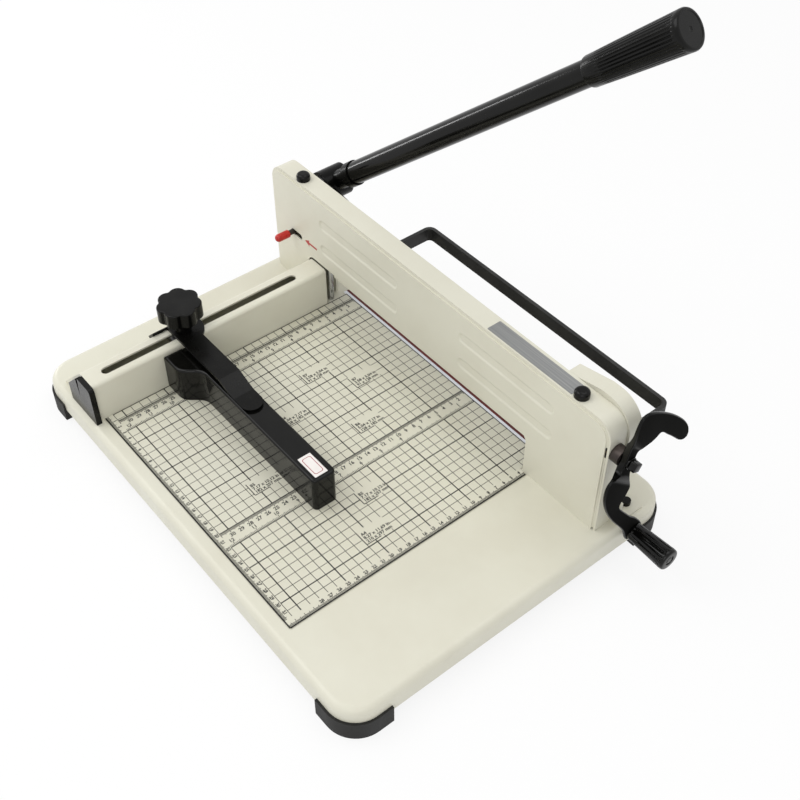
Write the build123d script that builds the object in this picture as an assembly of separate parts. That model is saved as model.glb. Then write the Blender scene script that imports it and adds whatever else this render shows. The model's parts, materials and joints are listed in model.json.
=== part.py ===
from build123d import *
import math
import os

# Guillotine stack paper cutter, millimetres, +Z up.
# While modelling, X = 0 is the fence face, Y = 0 the cut line and Z = 0 the printed table top.

# Clearances
RUN_GAP = 0.3
FIT_GAP = 0.05
SEAT_GAP = 0.3
OVERRUN = 5.0

# Table and base tray
CUT_W = 321.0
CUT_H = 45.5
FRONT_D = 336.0
REAR_D = 54.0
MARGIN_L = 12.0
MARGIN_R = 15.5
TRAY_H = 25.0
TRAY_T = 2.0
TRAY_CORNER_R = 30.0
TRAY_EDGE_R = 7.0
PRINT_T = 0.8
PRINT_SIDE = 6.0
PRINT_FRONT = 17.0
PRINT_TONGUE = 3.0

# Corner feet
FOOT_H = 14.2
FOOT_LIP_T = 2.5
FOOT_LIP_H = 8.0
FOOT_PAD_W = 12.0
FOOT_SIDE_L = 46.0

# Cutting stick and its channel
STICK_W = 8.0
STICK_H = 8.0
STICK_REAR = 3.0
STICK_OVER_L = 4.0
STICK_OVER_R = 11.0
CHANNEL_T = 2.0
LIP_FRONT = 2.0
LIP_REAR = 3.0

# Fence
FENCE_H = 48.0
FENCE_TOP_W = 26.0
FENCE_T = 2.0
FENCE_END = 12.0
FENCE_R = 4.0
FENCE_SLOT_W = 10.0
FENCE_SLOT_NEAR = 18.0
FENCE_SLOT_FAR = 32.0
CAP_T = 6.0
CAP_W = 48.0
CAP_OVER = 3.7
CAP_DROP = 4.0
CAP_R = 5.0
CAP_NOTCH_W = 5.0
CAP_NOTCH_Z = 20.0

# Gantry shell, front panel and back plate
GANTRY_LEFT = 95.0
GANTRY_RIGHT = 97.5
GANTRY_FRONT = 33.5
GANTRY_REAR = 12.0
SHELL_T = 2.5
SHELL_R = 20.0
PLATE_T = 2.8
PANEL_T = 1.5
PANEL_INSET = 4.3
PANEL_R = 16.0
MOUTH_LEFT = 32.0
MOUTH_LIP = 5.2
MOUTH_R = 10.0
PLATE_MOUTH_SIDE = 10.0
BEAD_W = 13.5
BEAD_DEPTH = 1.0
BEAD_TAPER_DEG = 68.0
BEAD_L = 133.0
BEAD_LEFT = 8.0
BEAD_RIGHT = 31.0
BEAD_LOW = 23.5
BEAD_STEP = 33.0
TOP_CAP_R = 7.5
TOP_CAP_H = 8.0
TOP_CAP_LEFT = 50.0
TOP_CAP_RIGHT = 45.5
TOP_CAP_FRONT = 7.5

# Foot brackets behind the gantry
BRACKET_W = 24.0
BRACKET_OUT = 8.5
BRACKET_D = 34.0
BRACKET_H = 30.0
BRACKET_T = 3.0
BOLT_R = 4.5
BOLT_H = 5.0
BOLT_REAR = 10.0

# Clamp, guide rods
CLAMP_STOP = 1.5
SHOE_H = 6.5
SHOE_LEFT = 12.8
SHOE_RIGHT = 3.0
BEAM_H = 16.0
BEAM_LEFT = 14.0
BEAM_RIGHT = 21.0
BEAM_GAP = 0.7
ROD_R = 3.5
ROD_LEFT = 5.0
ROD_RIGHT = 12.0
BUSH_T = 1.8
ROD_BRACKET_GAP = 5.0
ROD_BRACKET_H = 7.0
ROD_BRACKET_W = 14.0
ROD_FOOT_LEFT = 2.0
ROD_FOOT_W = 7.0

# Rack and pinion drive of the clamp
MODULE = 1.0
PRESSURE_DEG = 20.0
PINION_TEETH = 12
GEAR_TEETH = 16
TOOTH_PLAY = 0.15
ROOT_SHARE = 1.25
RACK_TIP_SHARE = 0.65
FLANK_SHARES = (0.0, 0.33, 0.67, 1.0)
SHAFT_RISE = 21.1
CROSS_R = 3.5
CROSS_END = 3.0
RACK_W = 8.0
RACK_LEFT = 22.0
RACK_RIGHT = 25.0
RACK_SPARE = 3.9
RACK_GAP = 0.5
PINION_SIDE = 1.0
GEAR_W = 8.0
GEAR_IN = 17.0
BLOCK_T = 7.0
BLOCK_WALL = 5.5
BLOCK_LEFT = 11.0
BLOCK_RIGHT = 5.0

# Crank
CRANK_SHAFT_R = 5.0
CRANK_SHAFT_END = 2.0
BUSH_R = 8.0
BUSH_IN = 2.0
COLLAR_R = 9.0
COLLAR_L = 9.2
WING_T = 7.0
WING_LAP = 1.0
WING_GAP = 1.0
WING_EDGE_R = 1.6
CRANK_THROW = 105.5
KNOB_DEG = -80.0
CRANK_END_R = 11.0
CRANK_HUB_W = 16.0
CRANK_HUB_L = 52.0
CRANK_HUB_DEG = 62.0
CRANK_SCREW_W = 9.0
CRANK_SCREW_H = 9.0
CRANK_POCKET_R = 8.5
KNOB_R = 9.5
KNOB_END_R = 11.5
KNOB_L = 45.0
KNOB_EDGE_R = 2.0
KNOB_FLUTES = 14
KNOB_FLUTE_R = 1.0
SPINDLE_R = 4.0
SPINDLE_L = 36.0
UPPER_WING_SHARES = (
    (-0.08, 0.28), (-0.05, 0.40), (-0.05, 0.52), (0.0, 0.59), (0.12, 0.58), (0.28, 0.48), (0.46, 0.32),
    (0.65, 0.06), (0.67, -0.05), (0.63, -0.10), (0.52, -0.03), (0.38, 0.12), (0.30, 0.22), (0.18, 0.15),
)
LOWER_WING_SHARES = (
    (0.04, -0.10), (-0.01, -0.24), (-0.03, -0.37), (-0.07, -0.46), (0.05, -0.66), (0.22, -0.86),
    (0.26, -1.02), (0.16, -1.06), (0.05, -0.92), (-0.06, -0.74), (-0.20, -0.51), (-0.31, -0.25),
    (-0.34, -0.08), (-0.31, 0.02), (-0.20, 0.06), (-0.08, 0.05),
)

# Blade carriage
CUT_BEHIND = 1.0
BLADE_T = 5.4
BLADE_RISE = 1.3
BLADE_STOP = 0.3
BLADE_LEFT = 8.0
BLADE_RIGHT = 32.0
BEVEL_H = 9.0
EDGE_T = 0.6
RAIL_RISE = 40.2
RAIL_H = 22.0
RAIL_LIP = 1.5
RAIL_LEFT = 17.0
TILT_DEG = 26.6
EAR_LEFT = 20.0
EAR_RIGHT = 100.0
EAR_RISE = 6.0
EAR_DIP = 3.0
EAR_SLOPE_L = 41.0
EAR_R = 30.0
GUIDE_R = 5.0
GUIDE_PLAY = 0.4
GUIDE_HEAD_R = 8.0
GUIDE_HEAD_T = 3.2
GUIDE_LEFT = 6.0
GUIDE_RIGHT = 51.0
GUIDE_SPAN = 32.0
BLADE_SCREWS = 5
BLADE_SCREW_R = 3.0
BLADE_SCREW_HEAD_R = 5.0
BLADE_SCREW_HEAD_T = 2.5
BLADE_SCREW_LEFT = 48.0
BLADE_SCREW_RIGHT = 33.0

# Blade guard bar
GUARD_H = 15.0
GUARD_T = 4.0
GUARD_LEFT = 64.0
GUARD_RIGHT = 86.0
GUARD_D = 61.0
GUARD_R = 9.0
GUARD_FOOT_L = 22.0
GUARD_SCREW_R = 3.0
GUARD_SCREW_HEAD_R = 5.0
GUARD_SCREW_HEAD_T = 3.0

# Lever
PIVOT_LEFT = 57.0
LEVER_DEG = 40.0
SPLAY_DEG = 10.8
HUB_R = 18.0
HUB_L = 31.0
HUB_GAP = 0.4
ARM_T = 6.0
ARM_ROOT_R = 9.0
DRIVE_R = 5.0
DRIVE_EYE_R = 8.0
DRIVE_PLAY = 0.6
DRIVE_END = 1.5
DRIVE_RISE = 1.4
STUD_R = 8.0
BOSS_R = 14.0
WASHER_R = 14.0
WASHER_T = 2.0
NUT_W = 24.0
NUT_T = 8.0
STUD_END = 2.0
NECK_R = 11.0
NECK_L = 44.0
LEVER_COLLAR_R = 14.0
LEVER_COLLAR_L = 10.0
TUBE_R = 12.5
TUBE_L = 400.0
GRIP_LAP = 14.0
GRIP_L = 107.0
GRIP_R = 14.5
GRIP_END_R = 18.0
GRIP_EDGE_R = 3.0

# Blade lock
LOCK_LEFT = 59.0
LOCK_Z = 66.5
LOCK_TRAVEL = 13.0
LOCK_PIN_R = 3.0
LOCK_SLOT_PLAY = 0.7
LOCK_PIN_OUT = 7.0
LOCK_TIP_R = 4.5
LOCK_TIP_L = 17.0
LOCK_TIP_ROUND_SHARE = 0.95
LATCH_T = 3.0
LATCH_LEFT = 11.0
LATCH_LOW = 5.5
LATCH_GAP = 0.5
LATCH_SCREW_R = 2.0
LATCH_SCREW_HEAD_R = 4.0
LATCH_SCREW_HEAD_T = 1.6
LATCH_SCREW_DOWN = 8.5
LATCH_SCREW_IN = 11.5
LATCH_SCREW_STEP = 20.0

# Back gauge
GAUGE_L = 234.5
GAUGE_H = 41.7
GAUGE_T = 26.6
GAUGE_FACE = 197.0
GAUGE_BULGE = 19.4
GAUGE_BULGE_L = 20.0
GAUGE_CURVE_L = 32.0
GAUGE_CORNER_R = 5.0
GAUGE_EDGE_R = 2.5
STRAP_T = 3.0
STRAP_W = 24.0
STRAP_IN = 0.5
STRAP_FLAT = 73.0
STRAP_SLOPE = 24.0
STRAP_TIP = 26.0
STRAP_SINK = 2.5
STRAP_RECESS_END = 9.0
STRAP_FLANGE = 9.0
STRAP_FLANGE_W = 58.0
HEAD_R = 22.0
NUT_BLOCK_SIDE = 1.0
NUT_BLOCK_H = 6.0
NUT_BLOCK_L = 30.0
NUT_NECK_L = 16.0
GAUGE_STUD_R = 4.0
GAUGE_NECK_R = 9.0
GAUGE_NECK_H = 20.0
GAUGE_KNOB_R = 23.5
GAUGE_KNOB_H = 17.0
GAUGE_LOBES = 7
GAUGE_LOBE_R = 9.5
GAUGE_VALLEY_R = 4.0
GAUGE_KNOB_EDGE_R = 1.5

# Places that follow from the sizes
DECK = -PRINT_T
TRAY_X0 = -GANTRY_LEFT - MARGIN_L
TRAY_X1 = CUT_W + GANTRY_RIGHT + MARGIN_R
TRAY_Y0 = -FRONT_D
TRAY_Y1 = REAR_D
TRAY_W = TRAY_X1 - TRAY_X0
TRAY_D = TRAY_Y1 - TRAY_Y0
TRAY_BOTTOM = DECK - TRAY_H
FLOOR = TRAY_BOTTOM - FOOT_H
CENTRE_X = (TRAY_X0 + TRAY_X1) / 2
CENTRE_Y = (TRAY_Y0 + TRAY_Y1) / 2

CHANNEL_X0 = -STICK_OVER_L
CHANNEL_X1 = CUT_W + STICK_OVER_R
GROOVE_Y0 = STICK_REAR - STICK_W
GROOVE_Y1 = STICK_REAR
CHANNEL_Y0 = GROOVE_Y0 - CHANNEL_T
CHANNEL_Y1 = GROOVE_Y1 + CHANNEL_T

SHELL_X0 = -GANTRY_LEFT
SHELL_X1 = CUT_W + GANTRY_RIGHT
SHELL_Y0 = -GANTRY_FRONT
SHELL_Y1 = -GANTRY_REAR
PANEL_Y0 = SHELL_Y0 - PANEL_T
PLATE_Y0 = SHELL_Y1 - PLATE_T
MOUTH_TOP = CUT_H + MOUTH_LIP

FENCE_Y0 = TRAY_Y0 + FENCE_END
FENCE_Y1 = PANEL_Y0
FENCE_FOOT_X = -FENCE_TOP_W - FENCE_H + DECK

GUIDE_HEAD_Y0 = PLATE_Y0 - RUN_GAP - GUIDE_HEAD_T
BEAM_Y0 = SHELL_Y0 + RUN_GAP
BEAM_Y1 = GUIDE_HEAD_Y0 - BEAM_GAP
BEAM_Z0 = CUT_H + SHOE_H
BEAM_Z1 = BEAM_Z0 + BEAM_H
CLAMP_TRAVEL = CUT_H - CLAMP_STOP
ROD_Y = (BEAM_Y0 + BEAM_Y1) / 2
ROD_XS = (-ROD_LEFT, CUT_W + ROD_RIGHT)
ROD_TOP = BEAM_Z1 + ROD_BRACKET_GAP + ROD_BRACKET_H

TOOTH_PITCH = math.pi * MODULE
PINION_R = MODULE * PINION_TEETH / 2
PINION_TIP_R = PINION_R + MODULE
GEAR_R = MODULE * GEAR_TEETH / 2
GEAR_TIP_R = GEAR_R + MODULE
CROSS_Y = PLATE_Y0 - RUN_GAP - PINION_TIP_R
CROSS_Z = BEAM_Z1 + SHAFT_RISE
CRANK_Y = (SHELL_Y0 + PLATE_Y0) / 2
CRANK_Z = CROSS_Z + math.sqrt((GEAR_R + GEAR_R) ** 2 - (CRANK_Y - CROSS_Y) ** 2)
MESH_DEG = math.degrees(math.atan2(CRANK_Z - CROSS_Z, CRANK_Y - CROSS_Y))
RACK_X0S = (RACK_LEFT, CUT_W - RACK_RIGHT - RACK_W)
RACK_TOP = CROSS_Z + CLAMP_TRAVEL + RACK_SPARE
RACK_LINE = CROSS_Y - PINION_R
GEAR_X0 = CUT_W - GEAR_IN
GEAR_X1 = GEAR_X0 + GEAR_W
BLOCK_R_X0 = CUT_W - BLOCK_RIGHT
BLOCK_R_X1 = BLOCK_R_X0 + BLOCK_T
SHELL_TOP = RACK_TOP + RACK_GAP + SHELL_T
PLATE_TOP = SHELL_TOP - SHELL_T
PANEL_TOP = SHELL_TOP - PANEL_INSET

HUB_X0 = SHELL_X1 + RUN_GAP + COLLAR_L
WING_X0 = TRAY_X1 + WING_GAP
WING_X1 = WING_X0 + WING_T
HUB_X1 = WING_X0 + WING_LAP
KNOB_X0 = WING_X1 + RUN_GAP
KNOB_Y = CRANK_Y + CRANK_THROW * math.cos(math.radians(KNOB_DEG))
KNOB_Z = CRANK_Z + CRANK_THROW * math.sin(math.radians(KNOB_DEG))

BLADE_Y0 = -CUT_BEHIND
BLADE_Y1 = BLADE_Y0 + BLADE_T
BLADE_X0 = -BLADE_LEFT
BLADE_X1 = CUT_W + BLADE_RIGHT
BLADE_Z0 = CUT_H + BLADE_RISE
DROP = BLADE_Z0 - BLADE_STOP
RAIL_Z0 = BLADE_Z0 + RAIL_RISE
RAIL_Z1 = RAIL_Z0 + RAIL_H
RAIL_MID = (RAIL_Z0 + RAIL_Z1) / 2
BLADE_Z1 = RAIL_Z1 - RAIL_LIP
CARRIER_Y0 = SHELL_Y1 + RUN_GAP
TILT = math.radians(TILT_DEG)
STROKE = DROP / math.cos(TILT)
SLIDE_X = -STROKE * math.sin(TILT)
SLIDE_Z = -DROP
EAR_X0 = CUT_W + EAR_LEFT
EAR_X1 = CUT_W + EAR_RIGHT
EAR_TOP = SHELL_TOP + EAR_RISE
GUIDE_L = (-GUIDE_LEFT, RAIL_MID)
GUIDE_R1 = (CUT_W + GUIDE_RIGHT, RAIL_MID)
GUIDE_R2 = (GUIDE_R1[0] + GUIDE_SPAN * math.sin(TILT), RAIL_MID + GUIDE_SPAN * math.cos(TILT))

SWING = math.radians(LEVER_DEG)
ARM_L = STROKE / (2 * math.sin(SWING / 2))
ARM_REST = SWING / 2 - TILT
DRIVE_Z = RAIL_MID + DRIVE_RISE
PIVOT_X = -PIVOT_LEFT
PIVOT_Z = DRIVE_Z - ARM_L * math.sin(ARM_REST)
DRIVE_X = PIVOT_X + ARM_L * math.cos(ARM_REST)
BULGE = ARM_L * (1 - math.cos(SWING / 2))
HUB_Y0 = BLADE_Y1 + HUB_GAP
HUB_Y1 = HUB_Y0 + HUB_L
LEVER_Y = (HUB_Y0 + HUB_Y1) / 2
GRIP_START = TUBE_L - GRIP_LAP

LOCK_X = -LOCK_LEFT
LATCH_Y1 = PLATE_Y0 - RUN_GAP
LATCH_Y0 = LATCH_Y1 - LATCH_T
LATCH_Z0 = LOCK_Z - LATCH_LOW
LATCH_Z1 = RAIL_MID - GUIDE_HEAD_R - LATCH_GAP

GAUGE_X0 = STRAP_IN
GAUGE_X1 = GAUGE_X0 + GAUGE_L
GAUGE_Y1 = -GAUGE_FACE
GAUGE_Y0 = GAUGE_Y1 - GAUGE_T
GAUGE_Z0 = RUN_GAP
GAUGE_Z1 = GAUGE_Z0 + GAUGE_H
STRAP_Y1 = GAUGE_Y1 - STRAP_IN
STRAP_Y = STRAP_Y1 - STRAP_W / 2
STRAP_Z0 = FENCE_H + SEAT_GAP
STRAP_Z1 = STRAP_Z0 + STRAP_T
STRAP_LOW = GAUGE_Z1 - STRAP_SINK
STRAP_END = STRAP_FLAT + STRAP_SLOPE + STRAP_TIP
STUD_X = -FENCE_TOP_W / 2


def block(x0, x1, y0, y1, z0, z1):
    return Pos((x0 + x1) / 2, (y0 + y1) / 2, (z0 + z1) / 2) * Box(x1 - x0, y1 - y0, z1 - z0)


def rod_x(radius, x0, x1, y, z):
    return Pos((x0 + x1) / 2, y, z) * Rot(0, 90, 0) * Cylinder(radius, x1 - x0)


def rod_y(radius, y0, y1, x, z):
    return Pos(x, (y0 + y1) / 2, z) * Rot(90, 0, 0) * Cylinder(radius, y1 - y0)


def rod_z(radius, z0, z1, x, y):
    return Pos(x, y, (z0 + z1) / 2) * Cylinder(radius, z1 - z0)


def poly(points):
    return make_face(Polyline(*points, close=True))


def plate_xz(face, y0, y1):
    return extrude(Plane((0, y1, 0), x_dir=(1, 0, 0), z_dir=(0, -1, 0)) * face, amount=y1 - y0)


def plate_yz(face, x0, x1):
    return extrude(Plane((x0, 0, 0), x_dir=(0, 1, 0), z_dir=(1, 0, 0)) * face, amount=x1 - x0)


def plate_xy(face, z0, z1):
    return extrude(Plane((0, 0, z0)) * face, amount=z1 - z0)


def rect(x0, x1, y0, y1):
    return Pos((x0 + x1) / 2, (y0 + y1) / 2) * Rectangle(x1 - x0, y1 - y0)


def stadium(p0, p1, radius):
    dx = p1[0] - p0[0]
    dy = p1[1] - p0[1]
    length = math.hypot(dx, dy)
    bar = Rectangle(length, radius + radius)
    ends = Pos(length / 2, 0) * Circle(radius) + Pos(-length / 2, 0) * Circle(radius)
    turn = Rot(0, 0, math.degrees(math.atan2(dy, dx)))
    return Pos((p0[0] + p1[0]) / 2, (p0[1] + p1[1]) / 2) * turn * (bar + ends)


def arch(x0, x1, z0, z1, radius):
    face = rect(x0, x1, z0, z1)
    return fillet(face.vertices().sort_by(Axis.Y)[-2:], radius)


def group_of(solids):
    whole = solids[0]
    for solid in solids[1:]:
        whole += solid
    return whole


def moved_down(point):
    return (point[0] + SLIDE_X, point[1] + SLIDE_Z)


def gear_face(teeth, phase_deg):
    pitch_r = MODULE * teeth / 2
    base_r = pitch_r * math.cos(math.radians(PRESSURE_DEG))
    tip_r = pitch_r + MODULE
    root_r = pitch_r - ROOT_SHARE * MODULE
    half_pitch = (TOOTH_PITCH / 2 - TOOTH_PLAY) / (2 * pitch_r)
    involute = math.tan(math.radians(PRESSURE_DEG)) - math.radians(PRESSURE_DEG)
    flank = []
    for share in FLANK_SHARES:
        r = base_r + share * (tip_r - base_r)
        roll = math.acos(base_r / r)
        flank.append((r, half_pitch + involute - math.tan(roll) + roll))
    root = [(root_r, flank[0][1])]
    points = []
    for tooth in range(teeth):
        centre = math.radians(phase_deg) + 2 * math.pi * tooth / teeth
        for r, half in root + flank:
            points.append((r * math.cos(centre - half), r * math.sin(centre - half)))
        for r, half in reversed(root + flank):
            points.append((r * math.cos(centre + half), r * math.sin(centre + half)))
    return poly(points)


def rack_face():
    slope = math.tan(math.radians(PRESSURE_DEG))
    half = (TOOTH_PITCH / 2 - TOOTH_PLAY) / 2
    tip = RACK_TIP_SHARE * MODULE
    root = ROOT_SHARE * MODULE
    points = [(RACK_LINE - root, RACK_TOP), (BEAM_Y0, RACK_TOP), (BEAM_Y0, BEAM_Z1)]
    points.append((RACK_LINE - root, BEAM_Z1))
    for tooth in range(-2, int((RACK_TOP - CROSS_Z) / TOOTH_PITCH)):
        z = CROSS_Z + (tooth + 1 / 2) * TOOTH_PITCH
        points.append((RACK_LINE - root, z - half - root * slope))
        points.append((RACK_LINE + tip, z - half + tip * slope))
        points.append((RACK_LINE + tip, z + half - tip * slope))
        points.append((RACK_LINE - root, z + half + root * slope))
    return poly(points)


def base_plan(grow, corner):
    place = Pos(CENTRE_X, CENTRE_Y)
    return place * RectangleRounded(TRAY_W + 2 * grow, TRAY_D + 2 * grow, corner + grow)


def base_tray():
    outer = plate_xy(base_plan(0, TRAY_CORNER_R), TRAY_BOTTOM, DECK)
    outer = fillet(outer.faces().sort_by(Axis.Z)[-1].edges(), TRAY_EDGE_R)
    inner = plate_xy(base_plan(-TRAY_T, TRAY_CORNER_R), TRAY_BOTTOM, DECK - TRAY_T)
    inner = fillet(inner.faces().sort_by(Axis.Z)[-1].edges(), TRAY_EDGE_R - TRAY_T)
    slot = block(CHANNEL_X0 - SEAT_GAP, CHANNEL_X1 + SEAT_GAP, CHANNEL_Y0 - SEAT_GAP, CHANNEL_Y1 + SEAT_GAP,
                 DECK - TRAY_T - OVERRUN, DECK + OVERRUN)
    return outer - inner - slot


def corner_feet():
    lip_top = TRAY_BOTTOM + FOOT_LIP_H
    ring = plate_xy(base_plan(FOOT_LIP_T, TRAY_CORNER_R), FLOOR, lip_top)
    ring -= plate_xy(base_plan(0, TRAY_CORNER_R), TRAY_BOTTOM, lip_top + OVERRUN)
    ring -= plate_xy(base_plan(-FOOT_PAD_W, TRAY_CORNER_R), FLOOR - OVERRUN, lip_top)
    span_x = TRAY_W / 2 - FOOT_SIDE_L
    span_y = TRAY_D / 2 - FOOT_SIDE_L
    across = block(CENTRE_X - span_x, CENTRE_X + span_x, TRAY_Y0 - OVERRUN, TRAY_Y1 + OVERRUN, FLOOR, lip_top)
    along = block(TRAY_X0 - OVERRUN, TRAY_X1 + OVERRUN, CENTRE_Y - span_y, CENTRE_Y + span_y, FLOOR, lip_top)
    return ring - across - along


def scale_plate():
    right = CUT_W + PRINT_SIDE
    table = block(SEAT_GAP, right, TRAY_Y0 + PRINT_FRONT, PANEL_Y0 - SEAT_GAP, DECK, 0)
    tongue = block(SEAT_GAP, CUT_W - PRINT_TONGUE, PANEL_Y0 - SEAT_GAP, CHANNEL_Y0 - LIP_FRONT, DECK, 0)
    return table + tongue


def stick_channel():
    lips = block(CHANNEL_X0, CHANNEL_X1, CHANNEL_Y0 - LIP_FRONT, CHANNEL_Y1 + LIP_REAR, DECK, 0)
    body = block(CHANNEL_X0, CHANNEL_X1, CHANNEL_Y0, CHANNEL_Y1, -STICK_H - CHANNEL_T, 0)
    groove = block(CHANNEL_X0 - OVERRUN, CHANNEL_X1 + OVERRUN, GROOVE_Y0, GROOVE_Y1, -STICK_H, OVERRUN)
    return lips + body - groove


def cutting_stick():
    return block(CHANNEL_X0, CHANNEL_X1, GROOVE_Y0, GROOVE_Y1, -STICK_H, 0)


def fence():
    outer = poly([(0, DECK), (0, FENCE_H), (-FENCE_TOP_W, FENCE_H), (FENCE_FOOT_X, DECK)])
    outer = fillet(outer.vertices().sort_by(Axis.Y)[-2:], FENCE_R)
    thick = FENCE_T * (1 + math.sqrt(2))
    top = FENCE_H - FENCE_T
    left = -FENCE_TOP_W + thick - FENCE_T
    inner = poly([(-FENCE_T, DECK), (-FENCE_T, top), (left, top), (left - top + DECK, DECK)])
    inner = fillet(inner.vertices().sort_by(Axis.Y)[-2:], FENCE_R - FENCE_T)
    body = plate_xz(outer, FENCE_Y0, FENCE_Y1) - plate_xz(inner, FENCE_Y0 + FENCE_T, FENCE_Y1 + OVERRUN)
    ends = FENCE_SLOT_W / 2
    slot = stadium((STUD_X, FENCE_Y0 + FENCE_SLOT_NEAR + ends), (STUD_X, FENCE_Y1 - FENCE_SLOT_FAR - ends), ends)
    return body - plate_xy(slot, top - OVERRUN, FENCE_H + OVERRUN)


def fence_end_cap():
    slope_top = FENCE_H - CAP_DROP
    notch_x = -FENCE_TOP_W
    low = FENCE_H + FENCE_TOP_W - CAP_W - CAP_DROP
    points = [(-CAP_W, DECK), (CAP_OVER, DECK), (CAP_OVER, FENCE_H), (notch_x + CAP_NOTCH_W, FENCE_H)]
    points += [(notch_x + CAP_NOTCH_W / 2, CAP_NOTCH_Z), (notch_x, slope_top), (-CAP_W, low)]
    face = poly(points)
    face = fillet(face.vertices().group_by(Axis.X)[-1].sort_by(Axis.Y)[-1], CAP_R)
    return plate_xz(face, FENCE_Y0 - CAP_T, FENCE_Y0)


def front_panel():
    x0 = SHELL_X0 + PANEL_INSET
    x1 = SHELL_X1 - PANEL_INSET
    face = arch(x0, x1, DECK, PANEL_TOP, PANEL_R)
    mouth = rect(-MOUTH_LEFT, CUT_W, DECK - OVERRUN, MOUTH_TOP)
    face -= fillet(mouth.vertices().sort_by(Axis.Y)[-2:], MOUTH_R)
    play = LOCK_PIN_R + LOCK_SLOT_PLAY
    face -= stadium((LOCK_X, LOCK_Z), (LOCK_X + LOCK_TRAVEL, LOCK_Z), play)
    panel = plate_xz(face, PANEL_Y0, SHELL_Y0)
    half = BEAD_W / 2
    for left in (-BEAD_LEFT, CUT_W + BEAD_RIGHT - BEAD_L):
        for row in (0, 1):
            z = MOUTH_TOP + BEAD_LOW + row * BEAD_STEP
            bead = stadium((left + half, z), (left + BEAD_L - half, z), half)
            front = Plane((0, PANEL_Y0, 0), x_dir=(1, 0, 0), z_dir=(0, -1, 0)) * bead
            panel -= extrude(front, amount=-BEAD_DEPTH, taper=BEAD_TAPER_DEG)
    return panel


def gantry_shell():
    outer = arch(SHELL_X0, SHELL_X1, DECK, SHELL_TOP, SHELL_R)
    inner = arch(SHELL_X0 + SHELL_T, SHELL_X1 - SHELL_T, DECK - OVERRUN, PLATE_TOP, SHELL_R - SHELL_T)
    shell = plate_xz(outer - inner, SHELL_Y0, SHELL_Y1)
    return shell - rod_x(BUSH_R, SHELL_X1 - SHELL_T - OVERRUN, SHELL_X1 + OVERRUN, CRANK_Y, CRANK_Z)


def back_plate():
    face = arch(SHELL_X0 + SHELL_T, SHELL_X1 - SHELL_T, DECK, PLATE_TOP, SHELL_R - SHELL_T)
    face -= rect(-PLATE_MOUTH_SIDE, CUT_W, DECK - OVERRUN, MOUTH_TOP)
    half = GUIDE_R + GUIDE_PLAY
    face -= stadium(GUIDE_L, moved_down(GUIDE_L), half)
    face -= stadium(GUIDE_R2, moved_down(GUIDE_R1), half)
    window = GEAR_TIP_R + RUN_GAP
    face -= rect(GEAR_X0 - RUN_GAP, GEAR_X1 + RUN_GAP, CROSS_Z - window, CROSS_Z + window)
    return plate_xz(face, PLATE_Y0, SHELL_Y1)


def bracket_xs():
    left = SHELL_X0 - BRACKET_OUT
    right = SHELL_X1 + BRACKET_OUT
    return ((left, left + BRACKET_W), (right - BRACKET_W, right))


def foot_brackets():
    rear = SHELL_Y1 + BRACKET_D
    group = []
    for x0, x1 in bracket_xs():
        leg = block(x0, x1, SHELL_Y1, SHELL_Y1 + BRACKET_T, DECK, DECK + BRACKET_H)
        group.append(leg + block(x0, x1, SHELL_Y1, rear, DECK, DECK + BRACKET_T))
    return group_of(group)


def bracket_bolts():
    top = DECK + BRACKET_T
    y = SHELL_Y1 + BRACKET_D - BOLT_REAR
    return group_of([rod_z(BOLT_R, top, top + BOLT_H, (x0 + x1) / 2, y) for x0, x1 in bracket_xs()])


def top_caps():
    y = SHELL_Y0 + TOP_CAP_FRONT
    group = []
    for x in (SHELL_X0 + TOP_CAP_LEFT, SHELL_X1 - TOP_CAP_RIGHT):
        cap = rod_z(TOP_CAP_R, SHELL_TOP, SHELL_TOP + TOP_CAP_H, x, y)
        group.append(fillet(cap.faces().sort_by(Axis.Z)[-1].edges(), TOP_CAP_H / 2))
    return group_of(group)


def guide_rods():
    return group_of([rod_z(ROD_R, DECK, ROD_TOP, x, ROD_Y) for x in ROD_XS])


def rod_brackets():
    z0 = ROD_TOP - ROD_BRACKET_H
    half = ROD_BRACKET_W / 2
    left, right = ROD_XS
    front = ROD_Y - ROD_R - BUSH_T
    rear = GUIDE_HEAD_Y0 - RUN_GAP
    arm_end = ROD_FOOT_LEFT + ROD_FOOT_W
    near = block(left - half, arm_end, front, rear, z0, ROD_TOP)
    near += block(ROD_FOOT_LEFT, arm_end, rear, PLATE_Y0, z0, ROD_TOP)
    far = block(right - half, right + half, front, PLATE_Y0, z0, ROD_TOP)
    group = []
    for solid, x in ((near, left), (far, right)):
        group.append(solid - rod_z(ROD_R, z0 - OVERRUN, ROD_TOP + OVERRUN, x, ROD_Y))
    return group_of(group)


def bearing_block(x0, top):
    low = CROSS_Z - CROSS_R - BLOCK_WALL
    solid = block(x0, x0 + BLOCK_T, BEAM_Y0, PLATE_Y0, low, top)
    return solid - rod_x(CROSS_R + FIT_GAP, x0 - OVERRUN, x0 + BLOCK_T + OVERRUN, CROSS_Y, CROSS_Z)


def bearing_block_left():
    return bearing_block(BLOCK_LEFT, CROSS_Z + CROSS_R + BLOCK_WALL)


def bearing_block_right():
    solid = bearing_block(BLOCK_R_X0, CRANK_Z + CRANK_SHAFT_R + BLOCK_WALL)
    bore = CRANK_SHAFT_R + FIT_GAP
    return solid - rod_x(bore, BLOCK_R_X0 - OVERRUN, BLOCK_R_X1 + OVERRUN, CRANK_Y, CRANK_Z)


def crank_bush():
    x0 = SHELL_X1 - SHELL_T - BUSH_IN
    bore = rod_x(CRANK_SHAFT_R + FIT_GAP, x0 - OVERRUN, SHELL_X1 + OVERRUN, CRANK_Y, CRANK_Z)
    return rod_x(BUSH_R, x0, SHELL_X1, CRANK_Y, CRANK_Z) - bore


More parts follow.
